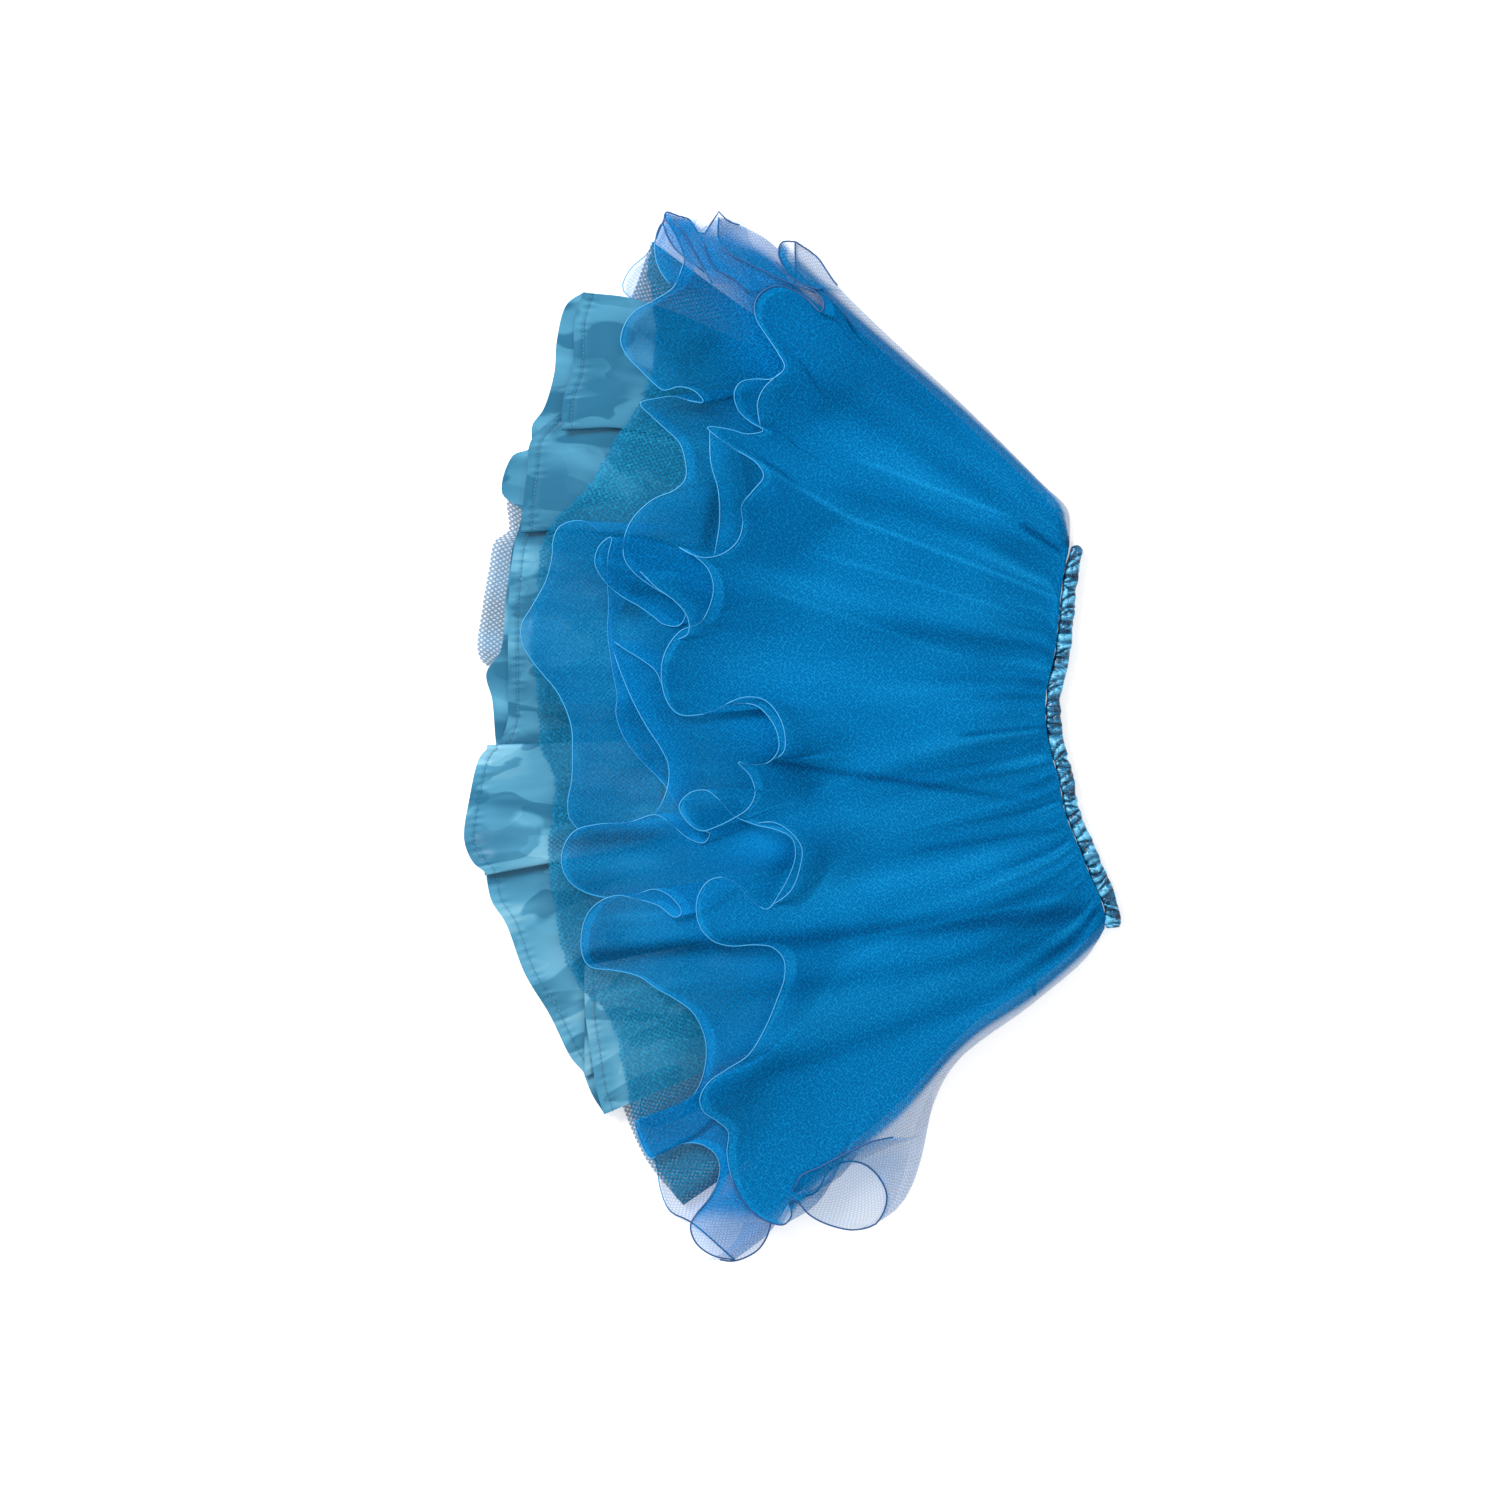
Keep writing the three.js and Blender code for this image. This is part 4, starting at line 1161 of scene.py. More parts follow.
def packed_cover(tube, x, y, inside):
    """Extra cover from bunched sides and hem corners, inside in mm from the inner side folds."""
    if tube == "net":
        return 0.35 * (smooth(270.0, 310.0, -y) + smooth(250.0, 320.0, y))
    corner = 0.4 * smooth(6.0, 26.0, inside) * smooth(200.0, 270.0, np.abs(y))
    corner *= np.where(y > 0, 1.6 * smooth(-110.0, 0.0, x) - 0.6, 1.0)
    return 0.5 * (1.0 - smooth(25.0, 120.0, inside)) + corner


def seen_share(tube, x, y, inside):
    """The share of the cover that is left where a layer lies alone on the floor."""
    if tube == "outer":
        return np.maximum(smooth(-14.0, -3.0, inside), 0.2 * smooth(325.0, 350.0, -y))
    top = smooth(-72.0, -58.0, x) * (1.0 - smooth(10.0, 40.0, x)) * (y > 0)
    top = top * (1.0 - smooth(8.0, 20.0, inside))
    return 1.0 - np.maximum(0.9 * top, 0.7 - 0.7 * smooth(-402.0, -382.0, y))


# %% [markdown]
# ### The three front panels
#
# Net first, then the inner and the outer tulle. Towards its side folds a panel comes down to the
# table, and its loops stand higher the further they reach.

# %% Front tulle and net panels
LOOP_LIFT = {"outer": 7.0, "inner": 5.5, "net": 0.0}  # mm
LOOPS_FROM = 0.62  # share down at which the cloth starts to be drawn out to its loops


def front_panel(name, tube, material, folds, open_density, open_from):
    """A front panel: folds is the count and reach of its fine folds, past open_from it opens."""
    hem, loops, shares, length = panel_hem(tube)
    down = np.concatenate([np.linspace(0.0, HEM_PART, PANEL_DOWN[tube])[:-1],
                           np.linspace(HEM_PART, 1.0, HEM_DOWN)])
    plan = panel_points(tube, shares, hem, down)
    ease = np.linspace(0.0, 1.0, 90)
    margin = np.minimum(*(nearest(plan[..., 0], plan[..., 1], side.at(ease))
                          for side in side_lines(tube).values()))
    drawn = smooth(LOOPS_FROM, 1.0, down) ** 1.3
    plan = plan + loops[:, None, :] * drawn[None, :, None]
    if tube == "inner":
        plan[..., 1] += side_points(plan[..., 0], plan[..., 1])
    x, y = plan[..., 0], plan[..., 1]
    rise, dense, shade = fine_folds(shares, down, SEAM.length, *folds)
    order = 0.6 + 0.4 * np.sin(np.arange(len(loops)) * PANEL_STEP[tube] / 31.0)
    lift = LOOP_LIFT[tube] * smooth(0.0, 24.0, np.linalg.norm(loops, axis=1)) * order
    full = front_height(tube, x, y) + rise + lift[:, None] * drawn[None, :]
    low = Z_BACK[tube] + STEP + CLOTH / 2
    raised = np.sin(np.pi / 2 * np.minimum(margin / ROLL, 1.0))
    grid = np.dstack([x, y, low + (full - low) * raised])
    inside = inside_tube("inner", x, y)
    rolled = rolled_band(grid, shares * length) if tube in WIRED_HEM else 0.0
    closed = 1.0 - smooth(open_from, 1.0, down)
    cover = open_density + (1.0 - open_density) * closed[None, :] + 0.5 * dense + 0.22 * rolled
    cover = (cover + packed_cover(tube, x, y, inside)) * seen_share(tube, x, y, inside)
    # Tone: the painted light and shade of the streaks and fine folds, lighter in the rolled hem
    # band and darker towards the upper side.
    tone = 0.5 + streaks(x, y, STREAKS) + shade + 0.14 * rolled - 0.14 * smooth(220.0, 300.0, y)
    obj = cloth_object(name, grid, material, cover, tone)
    print(name, grid.shape[:2], f"area {sheet_area(grid):.3f} m2, hem {length:.0f} mm")
    return obj, grid


net_front, net_grid = front_panel("coarse_net_front", "net", NET, (34, 0.9), 0.14, 0.3)
inner_front, inner_grid = front_panel("inner_tulle_front", "inner", INNER_TULLE,
                                      (58, 0.9), 0.13, 0.5)
outer_front, outer_grid = front_panel("outer_tulle_front", "outer", OUTER_TULLE,
                                      (64, 1.0), 0.28, 0.66)

# %% [markdown]
# ## Curled-over loops
#
# Where a wired hem springs right over, a tongue of tulle lies on top of its own panel. Each tongue
# is a small sheet from its wired loop back to a calmer line nearer the waist, where it meets the
# panel. Two layers of tulle hide more than one, and that draws the loops.

# %% Loops that lie on top: tube, reach towards the waist in mm, loop
LOOPS = [
    ("inner", 74, [(-158, 168), (-171, 176), (-184, 175), (-192, 170), (-196, 160), (-197, 147),
        (-202, 128), (-214, 106), (-222, 92), (-222, 78), (-215, 64), (-204, 50), (-194, 38),
        (-186, 23), (-181, 7), (-180, -11), (-181, -37), (-184, -52), (-183, -66), (-176, -76)]),
    ("inner", 28, [(-148, 73), (-140, 50), (-130, 27), (-119, 7), (-109, -8), (-102, -23),
        (-102, -39), (-107, -54), (-114, -65)]),
    ("outer", 26, [(-125, 135), (-112, 122), (-96, 110), (-86, 97), (-86, 84), (-98, 78)]),
    ("outer", 22, [(-60, 24), (-40, 32), (-24, 30), (-13, 19), (-7, 3), (-8, -13),
        (-20, -21)]),
    ("outer", 20, [(-8, 299), (-24, 284), (-29, 272), (-28, 260), (-26, 251)]),
    ("outer", 24, [(-68, 250), (-67, 223), (-61, 200), (-60, 175), (-64, 149)]),
    ("outer", 24, [(-31, -71), (-16, -70), (-2, -78), (7, -91), (5, -109), (-2, -126),
        (-20, -140)]),
    ("inner", 24, [(-148, 79), (-137, 71), (-124, 63), (-112, 53), (-106, 38)]),
    ("inner", 26, [(-107, 422), (-103, 410), (-96, 399), (-84, 389), (-73, 381)]),
    ("inner", 26, [(-102, 425), (-91, 415), (-83, 401), (-75, 386), (-66, 371)]),
    ("inner", 24, [(-75, 410), (-71, 396), (-63, 383), (-48, 374), (-34, 361)]),
    ("outer", 22, [(-61, 427), (-61, 410), (-55, 397), (-40, 389), (-24, 381), (-2, 371),
        (20, 363)]),
    ("outer", 20, [(-14, 389), (-4, 378), (8, 370), (24, 365)]),
    ("inner", 26, [(-104, 425), (-110, 416), (-113, 404), (-112, 390), (-106, 377), (-98, 368)]),
    ("inner", -22, [(-60, -430), (-50, -431), (-39, -428), (-28, -421), (-21, -410), (-18, -398)]),
    ("outer", 24, [(-2, -378), (6, -360), (22, -352), (43, -341), (65, -331), (82, -328)]),
]

# %% [markdown]
# ### Laying the tongues
#
# A tongue is highest in the middle of its loop and comes down to the panel at its ends and its
# root. A short reach means cloth that is folded tight, so it hides more.

# %% Tongues on the panels
LOOP_STEP = 2.0  # mm along a loop
TIGHT_REACH = 60  # mm


def tongue(tube, reach, points):
    """The sheet of one curled-over loop, its cover and the path of its cord."""
    line = Line(points)
    edge = line.at(np.linspace(0.0, 1.0, int(line.length / LOOP_STEP)))
    root = smoothed(edge, LOOP_STEP, 14.0) + (reach, 0.0)
    back = np.linspace(0.0, 1.0, 14)
    plan = between(edge, root, back)
    x, y = plan[..., 0], plan[..., 1]
    along = np.linspace(0.0, 1.0, len(edge))
    ends = smooth(0.0, 0.12, along) * (1.0 - smooth(0.88, 1.0, along))
    z = front_height(tube, x, y) + 0.6 + 3.2 * ends[:, None] * np.cos(np.pi / 2 * back)[None, :]
    side = np.minimum(1.0, np.maximum(0.0, inside_tube(tube, x, y)) / ROLL)
    low = Z_BACK[tube] + 2 * STEP
    z = low + (z - low) * np.sin(np.pi / 2 * side)
    grid = np.dstack([x, y, z])[:, ::-1]
    tight = 0.42 if 0 < reach < TIGHT_REACH else 0.1
    cover = tight * (1.0 - smooth(0.2, 1.0, back))[None, ::-1] * ends[:, None]
    dive = np.stack([0 * ends, 0 * ends, 1.8 * (1.0 - ends)], 1)
    return grid, cover, grid[:, -1] - dive


TULLE = {"outer": OUTER_TULLE, "inner": INNER_TULLE}
loop_sheets = {"outer": [], "inner": []}
loop_edges = {"outer": [], "inner": []}
for k, (tube, reach, points) in enumerate(LOOPS):
    grid, cover, path = tongue(tube, reach, points)
    sheet = cloth_object(f"loop_{k + 1}", grid, TULLE[tube], cover, np.full(cover.shape, 0.62))
    loop_sheets[tube].append(sheet)
    loop_edges[tube].append(path)
loops_of = {tube: joined(f"{tube}_hem_loops", sheets) for tube, sheets in loop_sheets.items()}
print(len(LOOPS), "curled-over loops")

# %% [markdown]
# ## The lining in its knife folds
#
# The lining is one wide sheet that is folded like a paper fan: each panel ends in a crease, the
# cloth laps back under it, and a second crease sends it on. The sheet is drawn in the order of
# its cloth, so it really passes under itself. Its gloss needs wrinkles in the mesh, not only in
# the bump, so short crumples are pressed into the part that shows.


# %% Crumples
def crumples(x, y, size, seed):
    """Uneven short wrinkles, as sums of leaning waves with sharp crests."""
    draw = np.random.default_rng(seed)
    total = np.zeros_like(x)
    for _ in range(9):
        angle = draw.uniform(-0.9, 0.9)
        wave = 2 * np.pi / draw.uniform(14.0, 48.0)
        phase = (x * math.sin(angle) + y * math.cos(angle)) * wave + draw.uniform(0, 6.3)
        lean = x * draw.uniform(0.02, 0.06) + y * draw.uniform(0.02, 0.06)
        slow = np.sin(lean + draw.uniform(0, 6.3))
        total += np.sin(phase + slow * 2.0) * (0.5 + 0.5 * slow)
    return size * total / 4.0


# %% [markdown]
# ### Points of the lining
#
# Rows from the table of the hem are filled in every three millimetres. Down the cloth the rows lie
# closest in the last part, where the hem is turned up and stitched.

# %% Points of the lining
LINING_LENGTH = 480.0
LINING_STEP = 3.0  # mm along the hem
knots = []
for k, chord in enumerate(chords):
    steps = max(2, int(round(chord / LINING_STEP)))
    knots += [k + i / steps for i in range(steps)]
knots = np.array(knots + [len(rows) - 1.0])
hem_line = spline_at(rows[:, :2], knots / (len(rows) - 1))
shares = np.interp(knots, np.arange(len(rows)), row_shares)
lifts = np.stack([np.interp(knots, np.arange(len(rows)), rows[:, 3 + k])
                  for k in range(len(LINING_FOLDS))], 1)
down = np.concatenate([np.linspace(0.0, 0.7, 34)[:-1], np.linspace(0.7, 0.955, 34)[:-1],
                       np.linspace(0.955, 1.0, 14)])
plan = panel_points("lining", shares, hem_line, down)
x, y = plan[..., 0], plan[..., 1]
z = front_height("lining", x, y)
for k, fold in enumerate(LINING_FOLDS):
    z = z + lifts[:, k][:, None] * fold_height(fold, x, y)
print("lining", z.shape, "points")

# %% [markdown]
# ### Hem and crumples of the lining
#
# The turned-up hem is a little thicker. Its stitches draw a groove and pucker the cloth.

# %% Hem and crumples of the lining
HEM_STITCH = 8.5  # mm, from the folded hem to its stitch line

cloth_x = run_of(hem_line)[:, None] + 0 * x
cloth_y = LINING_LENGTH * down[None, :] + 0 * x
away_hem = LINING_LENGTH * (1.0 - down)[None, :] + 0 * x
z = z + crumples(cloth_x, cloth_y * 0.55, 0.55, 3) * smooth(0.45, 0.8, down)[None, :]
turned = 1.0 - smooth(HEM_STITCH - 1.0, HEM_STITCH + 1.0, away_hem)
groove = bell(away_hem - HEM_STITCH, 1.3)
pucker = np.sin(cloth_x * 2 * np.pi / 7.3 + 1.5 * np.sin(cloth_x / 31.0))
pucker = pucker * bell(away_hem - HEM_STITCH, 6.0)
z = z + 0.5 * turned - 0.6 * groove + 0.35 * pucker
lining_grid = np.dstack([x, y, z])
print(f"area {sheet_area(lining_grid):.3f} m2")

# %% [markdown]
# ### Tone of the lining
#
# Panels that lean away from the light are painted darker, and the cloth just under each crease gets
# a painted shadow. The stitch groove is painted darker, the turned-up hem a little lighter, and the
# puckers lighter and darker as painted shade.

# %% Tone of the lining
turned_away = 0.12 * smooth(0.0, 60.0, y) + 0.2 * smooth(150.0, 200.0, y)
turned_away += 0.28 * smooth(-9.0, -2.0, y) * bell(y - 15.0, 40.0)
lining_tone = 0.5 - 0.09 * groove + 0.05 * turned + 0.14 * pucker - turned_away
for k, fold in enumerate(LINING_FOLDS):
    side, share = from_line(x, y, (fold["x"], fold["y"]), fold["waist"])
    beside = np.minimum(-side * fold["over"], 0.0)
    beyond = np.minimum(share, 0.0) * math.dist((fold["x"], fold["y"]), fold["waist"])
    # Painted shadow beside and beyond each crease, on the cloth that lies under it.
    under = (1.0 - lifts[:, k])[:, None] * np.exp(-((beside / 8.0) ** 2) - (beyond / 7.0) ** 2)
    lining_tone -= 0.5 * under
lining_front = cloth_object("satin_lining_front", lining_grid, SATIN, tone=lining_tone)
print("lining tone", f"{lining_tone.min():.2f} to {lining_tone.max():.2f}")

# %% [markdown]
# ## Back panels
#
# The back panels are pressed flat between the table and the front, and only their edges peek
# out past the front hems. Each is a plain sheet in its own layer, with a soft ripple at the hem.


# %% Back panels
def back_panel(tube, name, material, spacing, wave, density, tone=0.5):
    """A back panel with a hem ripple of about wave mm, its density the same all over, its tone
    painted lighter and darker along the ripple as painted shade.
    """
    hem, shares, length = hem_run(tube, HEM_BACK[tube], spacing)
    down = np.linspace(0.0, 1.0, 48)
    plan = panel_points(tube, shares, hem, down)
    if tube == "inner":
        plan[..., 1] += side_points(plan[..., 0], plan[..., 1]) * 0.6
    x, y = plan[..., 0], plan[..., 1]
    run = shares * length
    ripple = np.sin(run / wave + 2.0 * np.sin(run / (2.7 * wave)))
    ripple = ripple[:, None] * smooth(0.7, 1.0, down)[None, :]
    room = 0.35 if tube != "lining" else 0.9
    z = Z_BACK[tube] + CLOTH / 2 + room * ripple
    grid = np.dstack([x, y, z])
    # Painted shade: the ripple's crests lighter, its troughs darker.
    shade = tone + 0.12 * ripple
    obj = cloth_object(name, grid, material, np.full(x.shape, density), shade)
    print(name, grid.shape[:2], f"area {sheet_area(grid):.3f} m2")
    return obj, grid


outer_back, outer_back_grid = back_panel("outer", "outer_tulle_back", OUTER_TULLE, 6.0, 9.0, 0.03)
inner_back, inner_back_grid = back_panel("inner", "inner_tulle_back", INNER_TULLE, 6.0, 9.0, 0.1)
# The back net and lining are set darker; for the lining that is painted shade from the layers over
# it.
net_back, net_back_grid = back_panel("net", "coarse_net_back", NET, 6.0, 11.0, 0.3, 0.3)
lining_back, lining_back_grid = back_panel("lining", "satin_lining_back", SATIN, 4.0, 8.0, 0.0, 0.3)

# %% [markdown]
# ## The gathered waistband
#
# The casing is a satin tube over elastic, stitched along its middle. Let go, the elastic draws
# it into tight puffs that run across the band. The sheet follows a flattened half circle, and
# each gather has its own width, lean and height. Each puff gets a painted highlight on its crest
# and painted shade in the gaps beside it.


# %% Waistband
def band_sheet(base, height, gathers, depth, seed, calm_from=2.0):
    """One run of the casing and its tone of painted light and shade; its gathers die out from
    calm_from of the way.
    """
    draw = np.random.default_rng(seed)
    share = np.linspace(0.0, 1.0, gathers * 12 + 1)
    centre = BAND.at(share)
    way = BAND.tangent(share)
    out = np.stack([-way[:, 1], way[:, 0]], 1)
    gaps = draw.uniform(0.35, 1.6, gathers)
    marks = np.concatenate([[0.0], np.cumsum(gaps) / gaps.sum()])
    angle = np.linspace(0.0, np.pi, 29)
    wide = np.cos(angle)
    lean = np.interp(share, marks, draw.uniform(-0.5, 0.9, gathers + 1) / gathers)
    bend = np.interp(share, marks, draw.uniform(-0.5, 0.5, gathers + 1) / gathers)
    place = share[:, None] + lean[:, None] * wide[None, :] + bend[:, None] * wide[None, :] ** 2
    place = np.clip(place, 0.0, 0.9999)
    cell = np.clip(np.searchsorted(marks, place, side="right") - 1, 0, gathers - 1)
    inner = (place - marks[cell]) / (marks[cell + 1] - marks[cell])
    size = draw.uniform(0.45, 1.0, gathers)[cell]
    swell = np.sin(np.pi * np.clip(inner, 0.0, 1.0)) ** 0.7 * size
    calm = smooth(calm_from, calm_from + 0.03, share)[:, None]
    swell = swell * (1.0 - calm) + 0.75 * calm
    wander = (0.9 * np.sin(83.0 * share)[:, None] * wide[None, :]
              + 1.1 * np.sin(29.0 * share)[:, None])
    turns = 1.9 * gathers * share + 2.2 * np.sin(47.0 * share) + 1.3 * np.sin(131.0 * share)
    crinkle = np.sin(2 * np.pi * (turns[:, None] + 1.4 * wander)) * (1.0 - calm)
    stitch = bell(wide, 0.12)[None, :] * (1.0 - calm)
    tall = (np.sin(angle) ** 0.7)[None, :]
    top = height - depth * (1.0 - swell) - 0.5 * stitch + 0.3 * crinkle
    edge = np.interp(share, marks, draw.uniform(0.72, 1.12, gathers + 1))
    round_end = np.sqrt(np.clip(1.0 - (np.maximum(0.0, 0.015 - share) / 0.015) ** 2, 0.05, 1.0))
    side = (BAND_WIDTH / 2 + 0.3) * (edge * round_end)[:, None]
    grid = centre[:, None, :] + out[:, None, :] * (wide[None, :] * side)[..., None]
    z = base + np.maximum(top, 0.6) * tall
    # Painted highlights on the puffs' crests and painted shade in the gaps, along the stitch line
    # and in the crinkles.
    lit = 0.45 + 0.55 * np.sin(np.pi * np.clip(inner * 0.8 + 0.35, 0.0, 1.0))
    tone = 0.12 + 0.85 * swell * lit - 0.1 * stitch + 0.2 * crinkle
    return np.dstack([grid, z]), tone


# %% [markdown]
# ### The band's two runs
#
# The front run lies on the lining's waist and the back run on the table. The gathers of the back
# run die out just before its lower end, which peeks out.

# %% The band's two runs
band_grid, band_tone = band_sheet(Z_FRONT, 5.6, BAND_GATHERS, 3.2, 4)
band_front = cloth_object("waistband_front_casing", band_grid[:, ::-1], BAND_SATIN,
                          tone=band_tone[:, ::-1])
back_band_grid, back_band_tone = band_sheet(0.2, 5.6, BAND_GATHERS, 2.0, 5, 0.9)
band_back = cloth_object("waistband_back_casing", back_band_grid[:, ::-1], BAND_SATIN,
                         tone=back_band_tone[:, ::-1])
print("band", band_grid.shape[:2], f"area {sheet_area(band_grid):.4f} m2")

# %% [markdown]
# ## Edge cord and stitches by Geometry Nodes
#
# A rolled edge and a row of stitches both follow a line in the cloth. One node tree sweeps a
# small circle along the line, and another sets a short thread at each step of it. The line comes
# from the sheet's own rows, so it stays on the cloth.

# %% Line objects
TABLE_ROOM = 0.9  # mm, keeps the thickest cord off the table


def line_object(name, points):
    """A mesh of edges through points in mm, its tone 1 where the net lies under it.

    Where it is 0, cloth is thin and a cord looks thicker, so the line gets a thickness too.
    """
    points = np.array(points)
    points[:, 2] = np.maximum(points[:, 2], TABLE_ROOM)
    places = (points + (SHIFT[0], SHIFT[1], 0.0)) * MM
    mesh = bpy.data.meshes.new(name)
    mesh.from_pydata(places.tolist(), [(k, k + 1) for k in range(len(places) - 1)], [])
    tone = smooth(-12.0, 8.0, inside_tube("net", points[:, 0], points[:, 1]))
    for label, values in (("tone", tone), ("thick", 1.6 - 0.6 * tone)):
        mesh.attributes.new(label, "FLOAT", "POINT").data.foreach_set("value", values)
    return placed(name, mesh)


# %% [markdown]
# ### Node trees in a script
#
# A tree has named inputs, so one tree serves many lines. A helper adds one node with its links.


# %% Helpers for node trees
def new_tree(name, inputs):
    """A Geometry Nodes tree with named inputs and one geometry out."""
    tree = bpy.data.node_groups.new(name, "GeometryNodeTree")
    tree.interface.new_socket("Geometry", in_out="INPUT", socket_type="NodeSocketGeometry")
    for label, kind in inputs:
        tree.interface.new_socket(label, in_out="INPUT", socket_type=kind)
    tree.interface.new_socket("Geometry", in_out="OUTPUT", socket_type="NodeSocketGeometry")
    return tree, tree.nodes.new("NodeGroupInput"), tree.nodes.new("NodeGroupOutput")


def put(tree, kind, settings=None, **links):
    """Add one node: settings are its properties, links its inputs' values or sockets."""
    node = tree.nodes.new(kind)
    for key, value in (settings or {}).items():
        setattr(node, key, value)
    for key, value in links.items():
        socket = node.inputs[key.replace("_", " ")]
        if isinstance(value, bpy.types.NodeSocket):
            tree.links.new(value, socket)
        else:
            socket.default_value = value
    return node


def finish_tree(tree, start, end, geometry):
    """Realize the instances and set the material: the last steps of each tree."""
    real = put(tree, "GeometryNodeRealizeInstances", Geometry=geometry)
    done = put(tree, "GeometryNodeSetMaterial", Geometry=real.outputs["Geometry"],
               Material=start.outputs["Material"])
    tree.links.new(done.outputs["Geometry"], end.inputs["Geometry"])
    return tree


# %% [markdown]
# ### Cord and stitch trees
#
# The cord is a ring of six points swept along the line, scaled by the line's own thickness. A
# stitch is a small bead drawn out along the line, one at each step.


# %% Cord and stitch trees
def cord_tree():
    """A thin tube swept along the line."""
    ends = [("Radius", "NodeSocketFloat"), ("Material", "NodeSocketMaterial")]
    tree, start, end = new_tree("edge_cord", ends)
    path = put(tree, "GeometryNodeMeshToCurve", Mesh=start.outputs["Geometry"])
    ring = put(tree, "GeometryNodeCurvePrimitiveCircle", Resolution=6,
               Radius=start.outputs["Radius"])
    thick = put(tree, "GeometryNodeInputNamedAttribute", {"data_type": "FLOAT"}, Name="thick")
    tube = put(tree, "GeometryNodeCurveToMesh", Curve=path.outputs["Curve"],
               Profile_Curve=ring.outputs["Curve"], Scale=thick.outputs["Attribute"],
               Fill_Caps=True)
    soft = put(tree, "GeometryNodeSetShadeSmooth", Geometry=tube.outputs["Mesh"])
    return finish_tree(tree, start, end, soft.outputs["Geometry"])


def stitch_tree():
    """A row of short threads along the line."""
    tree, start, end = new_tree("stitch_row", [
        ("Spacing", "NodeSocketFloat"), ("Length", "NodeSocketFloat"),
        ("Thickness", "NodeSocketFloat"), ("Material", "NodeSocketMaterial")])
    path = put(tree, "GeometryNodeMeshToCurve", Mesh=start.outputs["Geometry"])
    steps = put(tree, "GeometryNodeCurveToPoints", {"mode": "LENGTH"}, Curve=path.outputs["Curve"],
                Length=start.outputs["Spacing"])
    thin = start.outputs["Thickness"]
    size = put(tree, "ShaderNodeCombineXYZ", X=thin, Y=thin, Z=start.outputs["Length"])
    bead = put(tree, "GeometryNodeMeshUVSphere", Segments=6, Rings=4, Radius=0.5)
    soft = put(tree, "GeometryNodeSetShadeSmooth", Geometry=bead.outputs["Mesh"])
    beads = put(tree, "GeometryNodeInstanceOnPoints", Points=steps.outputs["Points"],
                Instance=soft.outputs["Geometry"], Rotation=steps.outputs["Rotation"],
                Scale=size.outputs["Vector"])
    return finish_tree(tree, start, end, beads.outputs["Instances"])


CORD = cord_tree()
STITCH = stitch_tree()
print(CORD.name, len(CORD.nodes), "nodes,", STITCH.name, len(STITCH.nodes), "nodes")

# %% [markdown]
# ### From a line to a mesh
#
# The modifier's inputs are set by their identifiers before it is first evaluated. Its result is
# taken as a plain mesh, and the line is removed.


# %% From a line to a mesh
def grown(line, tree, **values):
    """The line grown by a node tree into a plain mesh object of the same name."""
    modifier = line.modifiers.new("grow", "NODES")
    modifier.node_group = tree
    for item in tree.interface.items_tree:
        if item.in_out == "INPUT" and item.name in values:
            modifier[item.identifier] = values[item.name]
    line.update_tag()
    graph = bpy.context.evaluated_depsgraph_get()
    mesh = bpy.data.meshes.new_from_object(line.evaluated_get(graph), depsgraph=graph)
    name = line.name
    old = line.data
    bpy.data.objects.remove(line)
    bpy.data.meshes.remove(old)
    mesh.name = name
    print(name, len(mesh.polygons), "faces")
    return placed(name, mesh)


# %% [markdown]
# ### Cords on the hems
#
# The front hems and the back hems of both tulle tubes get a cord, and so does each tongue.

# %% Edge cords
EDGE_RADIUS = 0.44  # mm
SIDE_ROWS = 22  # the wire shows round the upper corner, so the line starts up the side fold
HEMS = {"outer_front_edge": outer_grid, "inner_front_edge": inner_grid,
        "outer_back_edge": outer_back_grid, "inner_back_edge": inner_back_grid}


def cord(name, path):
    """A path grown into a cord."""
    return grown(line_object(name, path), CORD, Radius=EDGE_RADIUS * MM, Material=EDGE_CORD)


edges = []
for name, grid in HEMS.items():
    path = grid[:, -1]
    if "front" in name:
        path = np.vstack([grid[0, -SIDE_ROWS:-1], path])
    edges.append(cord(name, path + (0.0, 0.0, 0.4)))
loop_cords = {}
for tube, paths in loop_edges.items():
    cords = [cord(f"cord_{k}", path + (0.0, 0.0, 0.2)) for k, path in enumerate(paths)]
    loop_cords[tube] = joined(f"{tube}_loop_edges", cords)

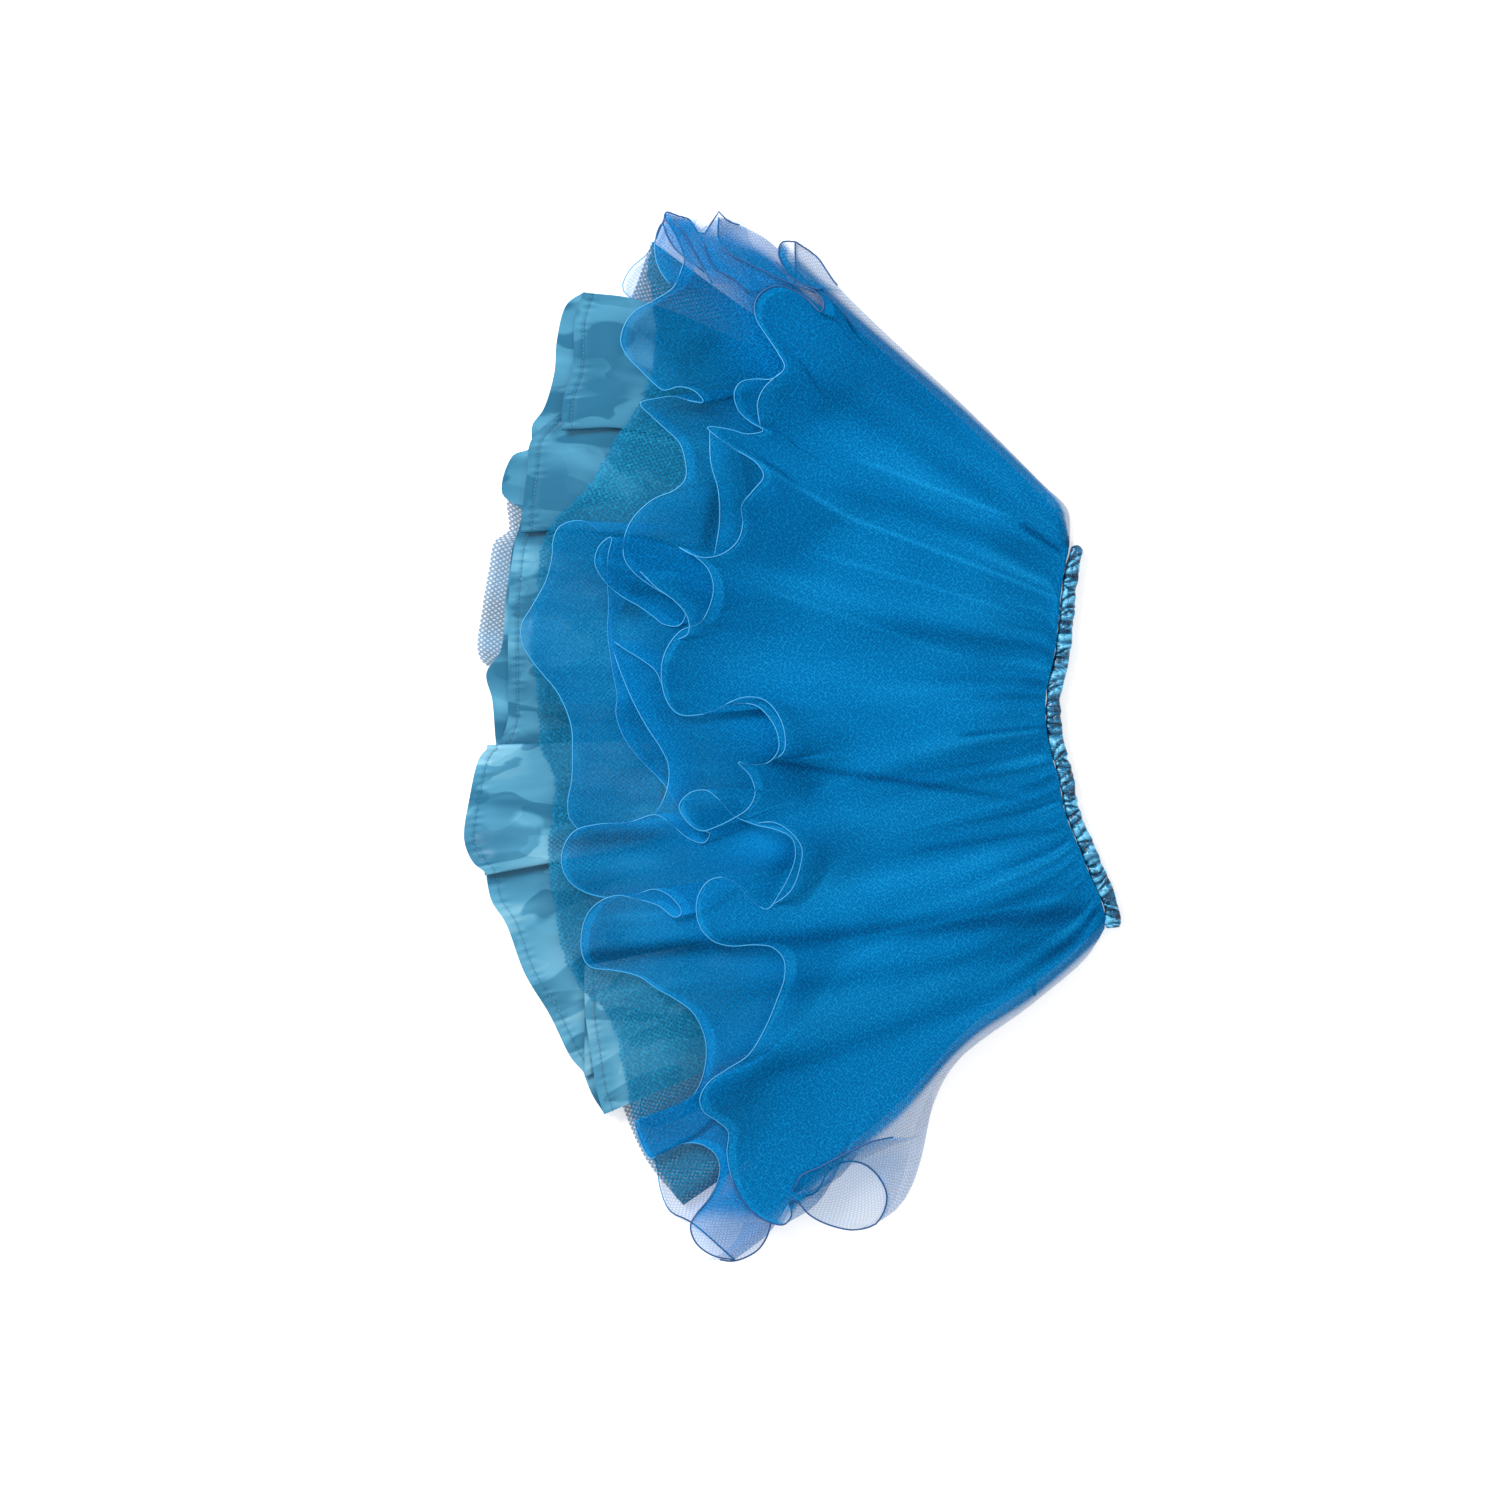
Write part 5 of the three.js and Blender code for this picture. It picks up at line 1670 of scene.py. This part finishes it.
# %% [markdown]
# ### Stitch rows
#
# One row holds the lining's hem and one runs along the middle of the waistband.

# %% Stitch rows
stitch_row = int(np.argmin(np.abs(LINING_LENGTH * (1.0 - down) - HEM_STITCH)))
hem_path = lining_grid[:, stitch_row] + (0.0, 0.0, 0.25)
hem_stitches = grown(line_object("lining_hem_stitches", hem_path), STITCH,
                     Spacing=3.2 * MM, Length=2.3 * MM, Thickness=0.6 * MM, Material=THREAD)
band_middle = band_grid[:, band_grid.shape[1] // 2] + (0.0, 0.0, 0.2)
band_stitches = grown(line_object("band_stitches", band_middle), STITCH,
                      Spacing=2.6 * MM, Length=1.9 * MM, Thickness=0.6 * MM, Material=THREAD)

# %% [markdown]
# ## Who stands for whom
#
# Every sheet replaces its solid in the frame and rides on the one body. What has no solid of its
# own, such as a cord or a stitch row, only rides.

# %% Frame calls
RIDERS = [
    (outer_front, "front_outer_tulle", "outer_tulle"),
    (inner_front, "front_inner_tulle", "inner_tulle"),
    (net_front, "front_net", "coarse_net"),
    (lining_front, "front_lining", "satin"),
    (outer_back, "back_outer_tulle", "outer_tulle"),
    (inner_back, "back_inner_tulle", "inner_tulle"),
    (net_back, "back_net", "coarse_net"),
    (lining_back, "back_lining", "satin"),
    (band_front, "waistband_front", "waistband"),
    (band_back, "waistband_back", "waistband"),
]
for obj, node_name, slot_name in RIDERS:
    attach(obj, ROOT)
    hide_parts(node_name)
TRIM = [(edges[0], "outer_tulle"), (edges[1], "inner_tulle"), (edges[2], "outer_tulle"),
        (edges[3], "inner_tulle"), (hem_stitches, "satin"), (band_stitches, "waistband")]
for tube in ("outer", "inner"):
    TRIM += [(loops_of[tube], f"{tube}_tulle"), (loop_cords[tube], f"{tube}_tulle")]
for obj, slot_name in TRIM:
    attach(obj, ROOT)
for node_name in ("hanger_ribbon_upper_a", "hanger_ribbon_upper_b", "hanger_ribbon_lower"):
    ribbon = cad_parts[node_name]
    ribbon.data.materials.clear()
    ribbon.data.materials.append(RIBBON)
print(len(RIDERS) + len(TRIM), "pieces ride on the one body")
